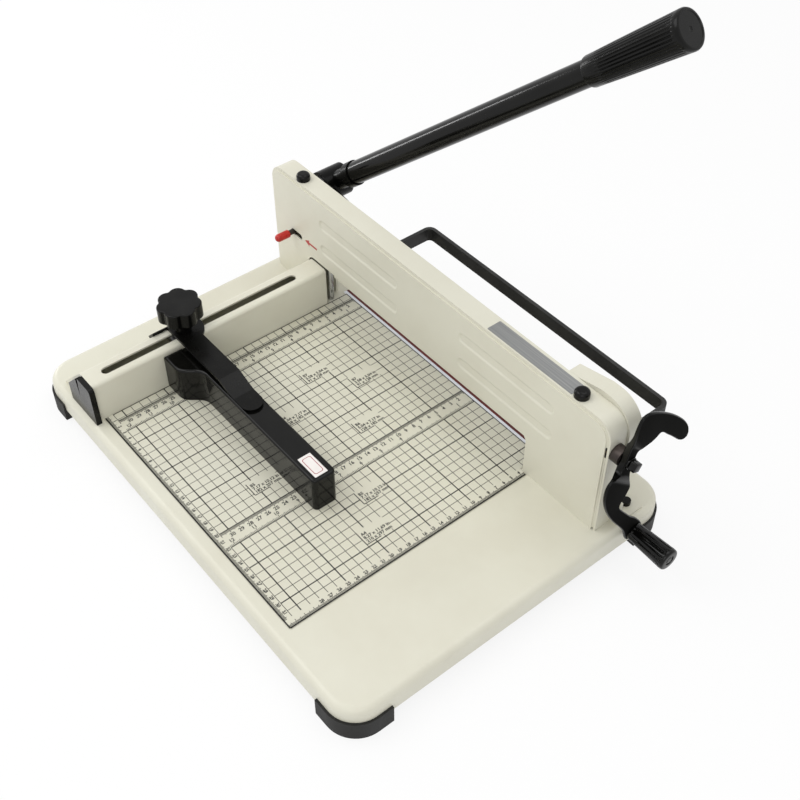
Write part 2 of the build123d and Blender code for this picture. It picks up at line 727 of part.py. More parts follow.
def pivot_boss():
    boss = rod_y(BOSS_R, SHELL_Y1, HUB_Y0 - RUN_GAP, PIVOT_X, PIVOT_Z)
    return boss - rod_y(STUD_R, SHELL_Y1 - OVERRUN, HUB_Y0 + OVERRUN, PIVOT_X, PIVOT_Z)


def pivot_stud():
    end = HUB_Y1 + RUN_GAP + WASHER_T + NUT_T + STUD_END
    return rod_y(STUD_R, SHELL_Y1, end, PIVOT_X, PIVOT_Z)


def pivot_nut():
    y0 = HUB_Y1 + RUN_GAP
    y1 = y0 + WASHER_T
    y2 = y1 + NUT_T
    hexagon = Pos(PIVOT_X, PIVOT_Z) * RegularPolygon(NUT_W / 2, 6, major_radius=False)
    nut = rod_y(WASHER_R, y0, y1, PIVOT_X, PIVOT_Z) + plate_xz(hexagon, y1, y2)
    return nut - rod_y(STUD_R, y0 - OVERRUN, y2 + OVERRUN, PIVOT_X, PIVOT_Z)


def latch_screw_places():
    z = LATCH_Z1 - LATCH_SCREW_DOWN
    x = latch_right(LATCH_Z1) - LATCH_SCREW_IN
    return ((x, z), (x - LATCH_SCREW_STEP, z))


def latch_screws():
    group = []
    for x, z in latch_screw_places():
        head_y = LATCH_Y0 - RUN_GAP
        screw = rod_y(LATCH_SCREW_R, head_y, PLATE_Y0, x, z)
        group.append(screw + rod_y(LATCH_SCREW_HEAD_R, head_y - LATCH_SCREW_HEAD_T, head_y, x, z))
    return group_of(group)


def lever_plane():
    splay = math.radians(SPLAY_DEG)
    across = math.cos(splay)
    way = (across * math.cos(SWING), math.sin(splay), across * math.sin(SWING))
    return Plane((PIVOT_X, LEVER_Y, PIVOT_Z), x_dir=(-math.sin(SWING), 0, math.cos(SWING)), z_dir=way)


def lever_rod(radius, start, end):
    return lever_plane() * Pos(0, 0, (start + end) / 2) * Cylinder(radius, end - start)


def lever_hub():
    hub = rod_y(HUB_R, HUB_Y0, HUB_Y1, PIVOT_X, PIVOT_Z)
    dx = math.cos(ARM_REST)
    dz = math.sin(ARM_REST)
    arm = poly([
        (PIVOT_X - ARM_ROOT_R * dz, PIVOT_Z + ARM_ROOT_R * dx),
        (PIVOT_X + ARM_ROOT_R * dz, PIVOT_Z - ARM_ROOT_R * dx),
        (DRIVE_X + DRIVE_EYE_R * dz, DRIVE_Z - DRIVE_EYE_R * dx),
        (DRIVE_X - DRIVE_EYE_R * dz, DRIVE_Z + DRIVE_EYE_R * dx),
    ])
    arm += Pos(DRIVE_X, DRIVE_Z) * Circle(DRIVE_EYE_R)
    hub += plate_xz(arm, HUB_Y0, HUB_Y0 + ARM_T)
    hub += lever_rod(NECK_R, 0, NECK_L)
    hub += lever_rod(LEVER_COLLAR_R, NECK_L - LEVER_COLLAR_L, NECK_L)
    hub -= rod_y(STUD_R + FIT_GAP, HUB_Y0 - OVERRUN, HUB_Y1 + OVERRUN, PIVOT_X, PIVOT_Z)
    return hub - rod_y(DRIVE_R, HUB_Y0 - OVERRUN, HUB_Y0 + ARM_T + OVERRUN, DRIVE_X, DRIVE_Z)


def drive_pin():
    return rod_y(DRIVE_R, CARRIER_Y0 + DRIVE_END, HUB_Y0 + ARM_T, DRIVE_X, DRIVE_Z)


def lever_tube():
    return lever_rod(TUBE_R, NECK_L, TUBE_L)


def lever_grip():
    end = GRIP_START + GRIP_L
    cone = Cone(GRIP_R, GRIP_END_R, GRIP_L)
    cone = fillet(cone.faces().sort_by(Axis.Z)[-1].edges(), GRIP_EDGE_R)
    grip = lever_plane() * Pos(0, 0, (GRIP_START + end) / 2) * cone
    return grip - lever_rod(TUBE_R, GRIP_START - OVERRUN, TUBE_L)


def blade_screw_xs():
    first = BLADE_X0 + BLADE_SCREW_LEFT
    step = (BLADE_X1 - BLADE_SCREW_RIGHT - first) / (BLADE_SCREWS - 1)
    return [first + step * n for n in range(BLADE_SCREWS)]


def blade_screw(x):
    shank = rod_y(BLADE_SCREW_R, CARRIER_Y0 + DRIVE_END, BLADE_Y1, x, RAIL_MID)
    return shank + rod_y(BLADE_SCREW_HEAD_R, BLADE_Y1 - BLADE_SCREW_HEAD_T, BLADE_Y1, x, RAIL_MID)


def blade_screws():
    return group_of([blade_screw(x) for x in blade_screw_xs()])


def blade_carrier():
    rail = rect(-RAIL_LEFT, EAR_X1, RAIL_Z0, RAIL_Z1)
    ear = poly([
        (EAR_X0, RAIL_Z0), (EAR_X1, RAIL_Z0), (EAR_X1, EAR_TOP),
        (EAR_X0 + EAR_SLOPE_L, EAR_TOP), (EAR_X0, SHELL_TOP - EAR_DIP),
    ])
    ear = fillet(ear.vertices().group_by(Axis.X)[-1].sort_by(Axis.Y)[-1], EAR_R)
    half = DRIVE_R + DRIVE_PLAY
    far = (DRIVE_X + BULGE * math.cos(TILT), DRIVE_Z - BULGE * math.sin(TILT))
    face = rail + ear - stadium((DRIVE_X, DRIVE_Z), far, half)
    carrier = plate_xz(face, CARRIER_Y0, BLADE_Y1)
    carrier -= block(BLADE_X0, BLADE_X1, BLADE_Y0, BLADE_Y1 + OVERRUN, RAIL_Z0 - OVERRUN, BLADE_Z1)
    for x in blade_screw_xs():
        carrier -= blade_screw(x)
    for x, z in (GUIDE_L, GUIDE_R1, GUIDE_R2):
        carrier -= rod_y(GUIDE_R, CARRIER_Y0 - OVERRUN, BLADE_Y0, x, z)
    return carrier


def blade():
    rear = [(BLADE_Y1, BLADE_Z1), (BLADE_Y0, BLADE_Z1), (BLADE_Y0, BLADE_Z0)]
    rear += [(BLADE_Y0 + EDGE_T, BLADE_Z0), (BLADE_Y1, BLADE_Z0 + BEVEL_H)]
    knife = plate_yz(poly(rear), BLADE_X0, BLADE_X1)
    reach = DRIVE_R + DRIVE_PLAY
    x0 = DRIVE_X - reach
    x1 = DRIVE_X + BULGE * math.cos(TILT) + reach
    z0 = DRIVE_Z - BULGE * math.sin(TILT) - reach
    knife -= block(x0, x1, BLADE_Y0 - OVERRUN, BLADE_Y1 + OVERRUN, z0, BLADE_Z1 + OVERRUN)
    for x in blade_screw_xs():
        knife -= blade_screw(x)
    return knife


def guide_pins():
    group = []
    head_y1 = GUIDE_HEAD_Y0 + GUIDE_HEAD_T
    for x, z in (GUIDE_L, GUIDE_R1, GUIDE_R2):
        pin = rod_y(GUIDE_R, GUIDE_HEAD_Y0, BLADE_Y0, x, z)
        group.append(pin + rod_y(GUIDE_HEAD_R, GUIDE_HEAD_Y0, head_y1, x, z))
    return group_of(group)


def guard_screw_places():
    left = GUARD_LEFT + GUARD_T - GUARD_FOOT_L / 2
    right = CUT_W + GUARD_RIGHT - GUARD_FOOT_L / 2
    return ((left, RAIL_Z0 + GUARD_H / 2), (right, RAIL_Z0 + GUARD_H / 2))


def guard_bar():
    x0 = GUARD_LEFT
    x1 = CUT_W + GUARD_RIGHT
    foot_y = BLADE_Y1 + GUARD_T
    outer = rect(x0, x1, BLADE_Y1, GUARD_D)
    outer = fillet(outer.vertices().sort_by(Axis.Y)[-2:], GUARD_R)
    inner = rect(x0 + GUARD_T, x1 - GUARD_T, BLADE_Y1 - OVERRUN, GUARD_D - GUARD_T)
    inner = fillet(inner.vertices().sort_by(Axis.Y)[-2:], GUARD_R - GUARD_T)
    loop = outer - inner + rect(x0 + GUARD_T - GUARD_FOOT_L, x0 + GUARD_T, BLADE_Y1, foot_y)
    loop += rect(x1 - GUARD_FOOT_L, x1, BLADE_Y1, foot_y)
    bar = plate_xy(loop, RAIL_Z0, RAIL_Z0 + GUARD_H)
    for x, z in guard_screw_places():
        bar -= rod_y(GUARD_SCREW_R, BLADE_Y1 - OVERRUN, foot_y + OVERRUN, x, z)
    return bar


def guard_screws():
    group = []
    foot_y = BLADE_Y1 + GUARD_T
    for x, z in guard_screw_places():
        screw = rod_y(GUARD_SCREW_R, BLADE_Y1, foot_y, x, z)
        group.append(screw + rod_y(GUARD_SCREW_HEAD_R, foot_y, foot_y + GUARD_SCREW_HEAD_T, x, z))
    return group_of(group)


def clamp_bar():
    beam = block(-BEAM_LEFT, CUT_W + BEAM_RIGHT, BEAM_Y0, BEAM_Y1, BEAM_Z0, BEAM_Z1)
    beam += block(SHOE_LEFT, CUT_W - SHOE_RIGHT, BEAM_Y0, BEAM_Y1, CUT_H, BEAM_Z0)
    for x in ROD_XS:
        beam -= rod_z(ROD_R + BUSH_T, BEAM_Z0 - OVERRUN, BEAM_Z1 + OVERRUN, x, ROD_Y)
    return beam


def clamp_bushes():
    group = []
    for x in ROD_XS:
        bore = rod_z(ROD_R + FIT_GAP, BEAM_Z0 - OVERRUN, BEAM_Z1 + OVERRUN, x, ROD_Y)
        group.append(rod_z(ROD_R + BUSH_T, BEAM_Z0, BEAM_Z1, x, ROD_Y) - bore)
    return group_of(group)


def clamp_racks():
    return group_of([plate_yz(rack_face(), x0, x0 + RACK_W) for x0 in RACK_X0S])


def cross_shaft():
    return rod_x(CROSS_R, BLOCK_LEFT - CROSS_END, BLOCK_R_X1 + CROSS_END, CROSS_Y, CROSS_Z)


def drive_pinions():
    face = Pos(CROSS_Y, CROSS_Z) * (gear_face(PINION_TEETH, 180) - Circle(CROSS_R))
    group = []
    for x0 in RACK_X0S:
        group.append(plate_yz(face, x0 - PINION_SIDE, x0 + RACK_W + PINION_SIDE))
    return group_of(group)


def cross_gear():
    face = Pos(CROSS_Y, CROSS_Z) * (gear_face(GEAR_TEETH, MESH_DEG) - Circle(CROSS_R))
    return plate_yz(face, GEAR_X0, GEAR_X1)


def crank_gear():
    turn = MESH_DEG + 180 + 180 / GEAR_TEETH
    face = Pos(CRANK_Y, CRANK_Z) * (gear_face(GEAR_TEETH, turn) - Circle(CRANK_SHAFT_R))
    return plate_yz(face, GEAR_X0, GEAR_X1)


def crank_shaft():
    return rod_x(CRANK_SHAFT_R, GEAR_X0 - CRANK_SHAFT_END, HUB_X1, CRANK_Y, CRANK_Z)


def crank_collar():
    x0 = SHELL_X1 + RUN_GAP
    bore = rod_x(CRANK_SHAFT_R, x0 - OVERRUN, HUB_X0 + OVERRUN, CRANK_Y, CRANK_Z)
    return rod_x(COLLAR_R, x0, HUB_X0, CRANK_Y, CRANK_Z) - bore


def wing(shares):
    points = [(CRANK_Y + y * CRANK_THROW, CRANK_Z + z * CRANK_THROW) for y, z in shares]
    return make_face(Spline(*points, periodic=True))


def rounded_wing(face):
    plate = plate_yz(face, WING_X0, WING_X1)
    return fillet(plate.faces().sort_by(Axis.X)[-1].edges(), WING_EDGE_R)


def crank_arm():
    lower = wing(LOWER_WING_SHARES) + Pos(KNOB_Y, KNOB_Z) * Circle(CRANK_END_R)
    wings = [rounded_wing(face) for face in (wing(UPPER_WING_SHARES), lower)]
    reach = (CRANK_HUB_L - CRANK_HUB_W) / 2
    dy = reach * math.cos(math.radians(CRANK_HUB_DEG))
    dz = reach * math.sin(math.radians(CRANK_HUB_DEG))
    waist = stadium((CRANK_Y - dy, CRANK_Z - dz), (CRANK_Y + dy, CRANK_Z + dz), CRANK_HUB_W / 2)
    arm = plate_yz(waist, HUB_X0, HUB_X1) + wings[0] + wings[1]
    arm -= rod_x(CRANK_SHAFT_R, HUB_X0 - OVERRUN, HUB_X1, CRANK_Y, CRANK_Z)
    arm -= rod_x(CRANK_POCKET_R, HUB_X1, WING_X1 + OVERRUN, CRANK_Y, CRANK_Z)
    return arm - rod_x(SPINDLE_R, WING_X0 - OVERRUN, WING_X1 + OVERRUN, KNOB_Y, KNOB_Z)


def crank_screw():
    head = Pos(CRANK_Y, CRANK_Z) * Rot(0, 0, CRANK_HUB_DEG) * Rectangle(CRANK_SCREW_W, CRANK_SCREW_W)
    return plate_yz(head, HUB_X1, HUB_X1 + CRANK_SCREW_H)


def crank_spindle():
    return rod_x(SPINDLE_R, WING_X0, KNOB_X0 + SPINDLE_L, KNOB_Y, KNOB_Z)


def crank_knob():
    cone = Cone(KNOB_R, KNOB_END_R, KNOB_L)
    cone = fillet(cone.faces().sort_by(Axis.Z)[-1].edges(), KNOB_EDGE_R)
    middle = (KNOB_R + KNOB_END_R) / 2
    taper = math.degrees(math.atan2(KNOB_END_R - KNOB_R, KNOB_L))
    flute = Rot(0, taper, 0) * Cylinder(KNOB_FLUTE_R, KNOB_L + OVERRUN)
    for n in range(KNOB_FLUTES):
        cone -= Rot(0, 0, 360 * n / KNOB_FLUTES) * Pos(middle, 0, 0) * flute
    knob = Pos(KNOB_X0 + KNOB_L / 2, KNOB_Y, KNOB_Z) * Rot(0, 90, 0) * cone
    bore = SPINDLE_R + FIT_GAP
    return knob - rod_x(bore, KNOB_X0 - OVERRUN, KNOB_X0 + SPINDLE_L + SEAT_GAP, KNOB_Y, KNOB_Z)


def latch_right(z):
    play = (GUIDE_HEAD_R + LATCH_GAP) / math.cos(TILT)
    return GUIDE_L[0] - play - (RAIL_MID - z) * math.tan(TILT)


def lock_latch():
    left = LOCK_X - LATCH_LEFT
    face = poly([
        (left, LATCH_Z0), (latch_right(LATCH_Z0), LATCH_Z0),
        (latch_right(LATCH_Z1), LATCH_Z1), (left, LATCH_Z1),
    ])
    for x, z in latch_screw_places():
        face -= stadium((x - LOCK_TRAVEL, z), (x, z), LATCH_SCREW_R + RUN_GAP)
    face -= Pos(LOCK_X, LOCK_Z) * Circle(LOCK_PIN_R)
    return plate_xz(face, LATCH_Y0, LATCH_Y1)


def lock_pin():
    return rod_y(LOCK_PIN_R, PANEL_Y0 - LOCK_PIN_OUT, LATCH_Y1, LOCK_X, LOCK_Z)


def lock_tip():
    y1 = PANEL_Y0 - LOCK_PIN_OUT
    tip = rod_y(LOCK_TIP_R, y1 - LOCK_TIP_L, y1, LOCK_X, LOCK_Z)
    return fillet(tip.faces().sort_by(Axis.Y)[0].edges(), LOCK_TIP_R * LOCK_TIP_ROUND_SHARE)


def gauge_bar():
    curve_x = GAUGE_BULGE_L + GAUGE_CURVE_L
    front = GAUGE_Y0 - GAUGE_BULGE
    edge = Polyline((GAUGE_BULGE_L, front), (GAUGE_X0, front), (GAUGE_X0, GAUGE_Y1), (GAUGE_X1, GAUGE_Y1),
                    (GAUGE_X1, GAUGE_Y0), (curve_x, GAUGE_Y0))
    bow = Spline((curve_x, GAUGE_Y0), (GAUGE_BULGE_L, front), tangents=[(-1, 0), (-1, 0)])
    body = plate_xy(make_face(edge + bow), GAUGE_Z0, GAUGE_Z1)
    body = fillet(body.edges().filter_by(Axis.Z).group_by(Axis.X)[-1], GAUGE_CORNER_R)
    body = fillet(body.faces().sort_by(Axis.Z)[-1].edges(), GAUGE_EDGE_R)
    half = STRAP_W / 2 + SEAT_GAP
    recess = rect(GAUGE_X0 - OVERRUN, STRAP_END + STRAP_RECESS_END - half, STRAP_Y - half, STRAP_Y + half)
    recess += Pos(STRAP_END + STRAP_RECESS_END - half, STRAP_Y) * Circle(half)
    return body - plate_xy(recess, STRAP_LOW, GAUGE_Z1 + OVERRUN)


def gauge_strap():
    slope = math.atan2(STRAP_Z0 - STRAP_LOW, STRAP_SLOPE)
    lean = STRAP_T * math.tan(slope / 2)
    foot_x = STRAP_FLAT + STRAP_SLOPE
    flange_x = -FENCE_TOP_W - STRAP_FLANGE
    bend = STRAP_T * math.tan(math.pi / 8)
    side = poly([
        (flange_x, STRAP_Z0 - STRAP_FLANGE), (-FENCE_TOP_W, STRAP_Z0), (STRAP_FLAT, STRAP_Z0),
        (foot_x, STRAP_LOW), (STRAP_END, STRAP_LOW), (STRAP_END, STRAP_LOW + STRAP_T),
        (foot_x + lean, STRAP_LOW + STRAP_T), (STRAP_FLAT + lean, STRAP_Z1), (-FENCE_TOP_W - bend, STRAP_Z1),
        (flange_x - STRAP_T / math.sqrt(2), STRAP_Z0 - STRAP_FLANGE + STRAP_T / math.sqrt(2)),
    ])
    half = STRAP_W / 2
    wide = STRAP_FLANGE_W / 2
    strap = plate_xz(side, STRAP_Y - wide, STRAP_Y + wide)
    plan = rect(-FENCE_TOP_W, STRAP_END - half, STRAP_Y - half, STRAP_Y + half)
    plan += Pos(STRAP_END - half, STRAP_Y) * Circle(half)
    head = Pos(STUD_X, STRAP_Y) * Circle(HEAD_R)
    plan += head & rect(STUD_X - HEAD_R, STUD_X + HEAD_R, STRAP_Y - half, STRAP_Y + HEAD_R)
    plan += rect(flange_x - STRAP_T, -FENCE_TOP_W, STRAP_Y - wide, STRAP_Y + wide)
    strap = strap & plate_xy(plan, 0, STRAP_Z1)
    return strap - rod_z(GAUGE_STUD_R + RUN_GAP, 0, STRAP_Z1 + OVERRUN, STUD_X, STRAP_Y)


def gauge_nut():
    under = FENCE_H - FENCE_T - RUN_GAP
    half = FENCE_TOP_W / 2 - FENCE_T - NUT_BLOCK_SIDE
    neck = FENCE_SLOT_W / 2 - RUN_GAP
    long = NUT_BLOCK_L / 2
    neck_long = NUT_NECK_L / 2
    nut = block(STUD_X - half, STUD_X + half, STRAP_Y - long, STRAP_Y + long, under - NUT_BLOCK_H, under)
    nut += block(STUD_X - neck, STUD_X + neck, STRAP_Y - neck_long, STRAP_Y + neck_long, under, STRAP_Z0)
    return nut - rod_z(GAUGE_STUD_R + FIT_GAP, under - NUT_BLOCK_H - OVERRUN, STRAP_Z0 + OVERRUN, STUD_X, STRAP_Y)


def gauge_stud():
    return rod_z(GAUGE_STUD_R, FENCE_H - FENCE_T - RUN_GAP - NUT_BLOCK_H, STRAP_Z1 + RUN_GAP, STUD_X, STRAP_Y)


def gauge_knob():
    z0 = STRAP_Z1 + RUN_GAP
    z1 = z0 + GAUGE_NECK_H
    lobe_at = GAUGE_KNOB_R - GAUGE_LOBE_R
    face = Circle(lobe_at)
    for n in range(GAUGE_LOBES):
        face += Rot(0, 0, 360 * n / GAUGE_LOBES) * Pos(lobe_at, 0) * Circle(GAUGE_LOBE_R)
    face = fillet(face.vertices(), GAUGE_VALLEY_R)
    head = plate_xy(Pos(STUD_X, STRAP_Y) * face, z1, z1 + GAUGE_KNOB_H)
    head = fillet(head.faces().sort_by(Axis.Z)[-1].edges(), GAUGE_KNOB_EDGE_R)
    return head + rod_z(GAUGE_NECK_R, z0, z1, STUD_X, STRAP_Y)


PIECES = (
    base_tray, corner_feet, scale_plate, stick_channel, cutting_stick, fence, fence_end_cap,
    front_panel, gantry_shell, back_plate, foot_brackets, bracket_bolts, top_caps,
    guide_rods, rod_brackets, bearing_block_left, bearing_block_right, crank_bush,
    pivot_boss, pivot_stud, pivot_nut, latch_screws,
    lever_hub, lever_tube, lever_grip, drive_pin,
    blade_carrier, blade, blade_screws, guide_pins, guard_bar, guard_screws,
    clamp_bar, clamp_bushes, clamp_racks, cross_shaft, drive_pinions, cross_gear,
    crank_shaft, crank_gear, crank_collar, crank_arm, crank_screw, crank_spindle, crank_knob,
    lock_latch, lock_pin, lock_tip,
    gauge_bar, gauge_strap, gauge_nut, gauge_stud, gauge_knob,
)

# The origin is on the floor, under the middle of the part's whole outline
solids = [(piece.__name__, piece()) for piece in PIECES]
boxes = [solid.bounding_box() for name, solid in solids]
middle_x = (min(box.min.X for box in boxes) + max(box.max.X for box in boxes)) / 2
middle_y = (min(box.min.Y for box in boxes) + max(box.max.Y for box in boxes)) / 2

os.makedirs("parts", exist_ok=True)
for name, solid in solids:
    export_step(Pos(-middle_x, -middle_y, -FLOOR) * solid, "parts/" + name + ".step")
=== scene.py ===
import json
import math

import bmesh
import bpy
from mathutils import Matrix, Vector


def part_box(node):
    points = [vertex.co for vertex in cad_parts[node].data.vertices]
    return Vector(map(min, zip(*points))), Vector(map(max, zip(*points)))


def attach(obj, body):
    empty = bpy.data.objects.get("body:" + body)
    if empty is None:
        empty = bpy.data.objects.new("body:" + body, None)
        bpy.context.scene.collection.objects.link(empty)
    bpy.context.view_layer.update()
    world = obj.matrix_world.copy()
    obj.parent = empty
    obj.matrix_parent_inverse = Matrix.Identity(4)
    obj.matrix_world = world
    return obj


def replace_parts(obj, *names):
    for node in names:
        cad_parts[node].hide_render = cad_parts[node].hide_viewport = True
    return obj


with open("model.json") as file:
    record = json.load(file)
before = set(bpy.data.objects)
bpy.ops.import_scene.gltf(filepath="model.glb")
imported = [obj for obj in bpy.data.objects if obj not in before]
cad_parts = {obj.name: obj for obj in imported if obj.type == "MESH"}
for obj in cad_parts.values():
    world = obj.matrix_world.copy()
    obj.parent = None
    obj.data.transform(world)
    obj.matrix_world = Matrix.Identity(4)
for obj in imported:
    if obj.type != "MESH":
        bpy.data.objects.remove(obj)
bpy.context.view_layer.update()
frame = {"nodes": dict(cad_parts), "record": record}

# Guillotine stack paper cutter: finishes, table print, small trim, grips, crank, light and camera.
# Lengths are in millimetres from the fence face, the cut line and the printed table top,
# and place() turns them into the frame's metres.

NODES = frame["nodes"]
SLOTS = {row["node"]: row["material_slot"] for row in frame["record"]["subparts"]}
MM = 0.001
PLATE_CORNER = Vector((0.3, -319.0, -0.8))
DATUM = PLATE_CORNER - Vector(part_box("scale_plate")[0]) / MM
CREASE = math.radians(40)
INK_H = 0.04
FIGURE_WEIGHT, FIGURE_STEPS = 0.16, 2
TABLE_Z = 0.0


def place(x, y, z):
    return (Vector((x, y, z)) - DATUM) * MM


def node_box(node):
    """A CAD node's lowest and highest corner at rest, in the script's millimetres."""
    return [Vector(corner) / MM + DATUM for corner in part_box(node)]


def srgb(red, green, blue):
    def linear(value):
        value = value / 255
        return value / 12.92 if value <= 0.04045 else ((value + 0.055) / 1.055) ** 2.4
    return (linear(red), linear(green), linear(blue), 1.0)


# Shader node groups that the finishes share

# Noise values between which a tone, a gloss or a wiped place goes from one end to the other
PATCH_SPAN, LINE_SPAN, GLOSS_SPAN, WIPED_SPAN = (0.38, 0.68), (0.3, 0.7), (0.3, 0.7), (0.42, 0.7)
UPWARD_SPAN = (0.2, 1.0)
DUST_SCALE = 45.0


def new_group(name, inputs, outputs):
    group = bpy.data.node_groups.new(name, "ShaderNodeTree")
    for label, kind, default in inputs:
        socket = group.interface.new_socket(label, in_out="INPUT", socket_type=kind)
        socket.default_value = default
    for label, kind in outputs:
        group.interface.new_socket(label, in_out="OUTPUT", socket_type=kind)
    return group, group.nodes.new("NodeGroupInput"), group.nodes.new("NodeGroupOutput")


def noise(tree, vector, scale, detail, roughness=0.5):
    node = tree.nodes.new("ShaderNodeTexNoise")
    node.inputs["Detail"].default_value = detail
    node.inputs["Roughness"].default_value = roughness
    tree.links.new(vector, node.inputs["Vector"])
    if isinstance(scale, (int, float)):
        node.inputs["Scale"].default_value = scale
    else:
        tree.links.new(scale, node.inputs["Scale"])
    return node.outputs["Fac"]


def spread(tree, value, low, high, to_low, to_high):
    node = tree.nodes.new("ShaderNodeMapRange")
    tree.links.new(value, node.inputs["Value"])
    for label, number in (("From Min", low), ("From Max", high), ("To Min", to_low), ("To Max", to_high)):
        if isinstance(number, (int, float)):
            node.inputs[label].default_value = number
        else:
            tree.links.new(number, node.inputs[label])
    return node.outputs["Result"]


def mix_colour(tree, fac, first, second):
    node = tree.nodes.new("ShaderNodeMix")
    node.data_type = "RGBA"
    for socket, value in ((node.inputs["Factor"], fac), (node.inputs[6], first), (node.inputs[7], second)):
        if isinstance(value, (int, float, tuple)):
            socket.default_value = value
        else:
            tree.links.new(value, socket)
    return node.outputs[2]


def multiply(tree, first, second):
    node = tree.nodes.new("ShaderNodeMath")
    node.operation = "MULTIPLY"
    for socket, value in ((node.inputs[0], first), (node.inputs[1], second)):
        if isinstance(value, (int, float)):
            socket.default_value = value
        else:
            tree.links.new(value, socket)
    return node.outputs[0]


def make_coat_group():
    """A coat or moulding with slow patches of tone, fine grain in its height and uneven gloss."""
    group, given, out = new_group("uneven coat", (
        ("Main", "NodeSocketColor", (0.5, 0.5, 0.5, 1)), ("Shade", "NodeSocketColor", (0.4, 0.4, 0.4, 1)),
        ("Patch Scale", "NodeSocketFloat", 20.0), ("Grain Scale", "NodeSocketFloat", 900.0),
        ("Gloss Low", "NodeSocketFloat", 0.3), ("Gloss High", "NodeSocketFloat", 0.5),
    ), (("Colour", "NodeSocketColor"), ("Roughness", "NodeSocketFloat"), ("Height", "NodeSocketFloat")))
    where = group.nodes.new("ShaderNodeTexCoord").outputs["Object"]
    patch = noise(group, where, given.outputs["Patch Scale"], 4.0, 0.6)
    grain = noise(group, where, given.outputs["Grain Scale"], 2.0)
    mask = spread(group, patch, *PATCH_SPAN, 0.0, 1.0)
    colour = mix_colour(group, mask, given.outputs["Main"], given.outputs["Shade"])
    rough = spread(group, patch, *GLOSS_SPAN, given.outputs["Gloss Low"], given.outputs["Gloss High"])
    group.links.new(colour, out.inputs["Colour"])
    group.links.new(rough, out.inputs["Roughness"])
    group.links.new(grain, out.inputs["Height"])
    return group


def make_dust_group():
    """Pale dust that settles on faces that look up, thinner where it has been wiped."""
    group, given, out = new_group("settled dust", (
        ("Colour", "NodeSocketColor", (0.5, 0.5, 0.5, 1)), ("Dust", "NodeSocketColor", (0.6, 0.58, 0.52, 1)),
        ("Amount", "NodeSocketFloat", 0.1),
    ), (("Colour", "NodeSocketColor"),))
    where = group.nodes.new("ShaderNodeTexCoord").outputs["Object"]
    normal = group.nodes.new("ShaderNodeNewGeometry").outputs["Normal"]
    split = group.nodes.new("ShaderNodeSeparateXYZ")
    group.links.new(normal, split.inputs[0])
    upward = spread(group, split.outputs["Z"], *UPWARD_SPAN, 0.0, 1.0)
    wiped = spread(group, noise(group, where, DUST_SCALE, 5.0, 0.7), *WIPED_SPAN, 0.0, 1.0)
    mask = multiply(group, multiply(group, upward, wiped), given.outputs["Amount"])
    group.links.new(mix_colour(group, mask, given.outputs["Colour"], given.outputs["Dust"]), out.inputs["Colour"])
    return group


def make_brush_group():
    """Fine drawn lines along one axis, for bare metal."""
    group, given, out = new_group("drawn lines", (
        ("Main", "NodeSocketColor", (0.6, 0.6, 0.6, 1)), ("Shade", "NodeSocketColor", (0.4, 0.4, 0.4, 1)),
        ("Stretch", "NodeSocketVector", (8.0, 900.0, 900.0)),
        ("Gloss Low", "NodeSocketFloat", 0.2), ("Gloss High", "NodeSocketFloat", 0.4),
    ), (("Colour", "NodeSocketColor"), ("Roughness", "NodeSocketFloat"), ("Height", "NodeSocketFloat")))
    where = group.nodes.new("ShaderNodeTexCoord").outputs["Object"]
    mapping = group.nodes.new("ShaderNodeMapping")
    group.links.new(where, mapping.inputs["Vector"])
    group.links.new(given.outputs["Stretch"], mapping.inputs["Scale"])
    lines = noise(group, mapping.outputs["Vector"], 1.0, 3.0, 0.6)
    mask = spread(group, lines, *LINE_SPAN, 0.0, 1.0)
    group.links.new(mix_colour(group, mask, given.outputs["Main"], given.outputs["Shade"]), out.inputs["Colour"])
    rough = spread(group, lines, *GLOSS_SPAN, given.outputs["Gloss Low"], given.outputs["Gloss High"])
    group.links.new(rough, out.inputs["Roughness"])
    group.links.new(lines, out.inputs["Height"])
    return group


COAT = make_coat_group()
DUST = make_dust_group()
BRUSH = make_brush_group()


def use_group(tree, group, values):
    node = tree.nodes.new("ShaderNodeGroup")
    node.node_tree = group
    for label, value in values.items():
        if isinstance(value, bpy.types.NodeSocket):
            tree.links.new(value, node.inputs[label])
        else:
            node.inputs[label].default_value = value
    return node


def sideways(tree):
    """How far a face looks along X, from 0 to 1."""
    split = tree.nodes.new("ShaderNodeSeparateXYZ")
    tree.links.new(tree.nodes.new("ShaderNodeNewGeometry").outputs["Normal"], split.inputs[0])
    size = tree.nodes.new("ShaderNodeMath")
    size.operation = "ABSOLUTE"
    tree.links.new(split.outputs["X"], size.inputs[0])
    return size.outputs[0]


RELIEF_DEPTH = 0.0004
FLAT_FACE, EDGE_FACE = (0.80, 0.95), (0.70, 0.90)


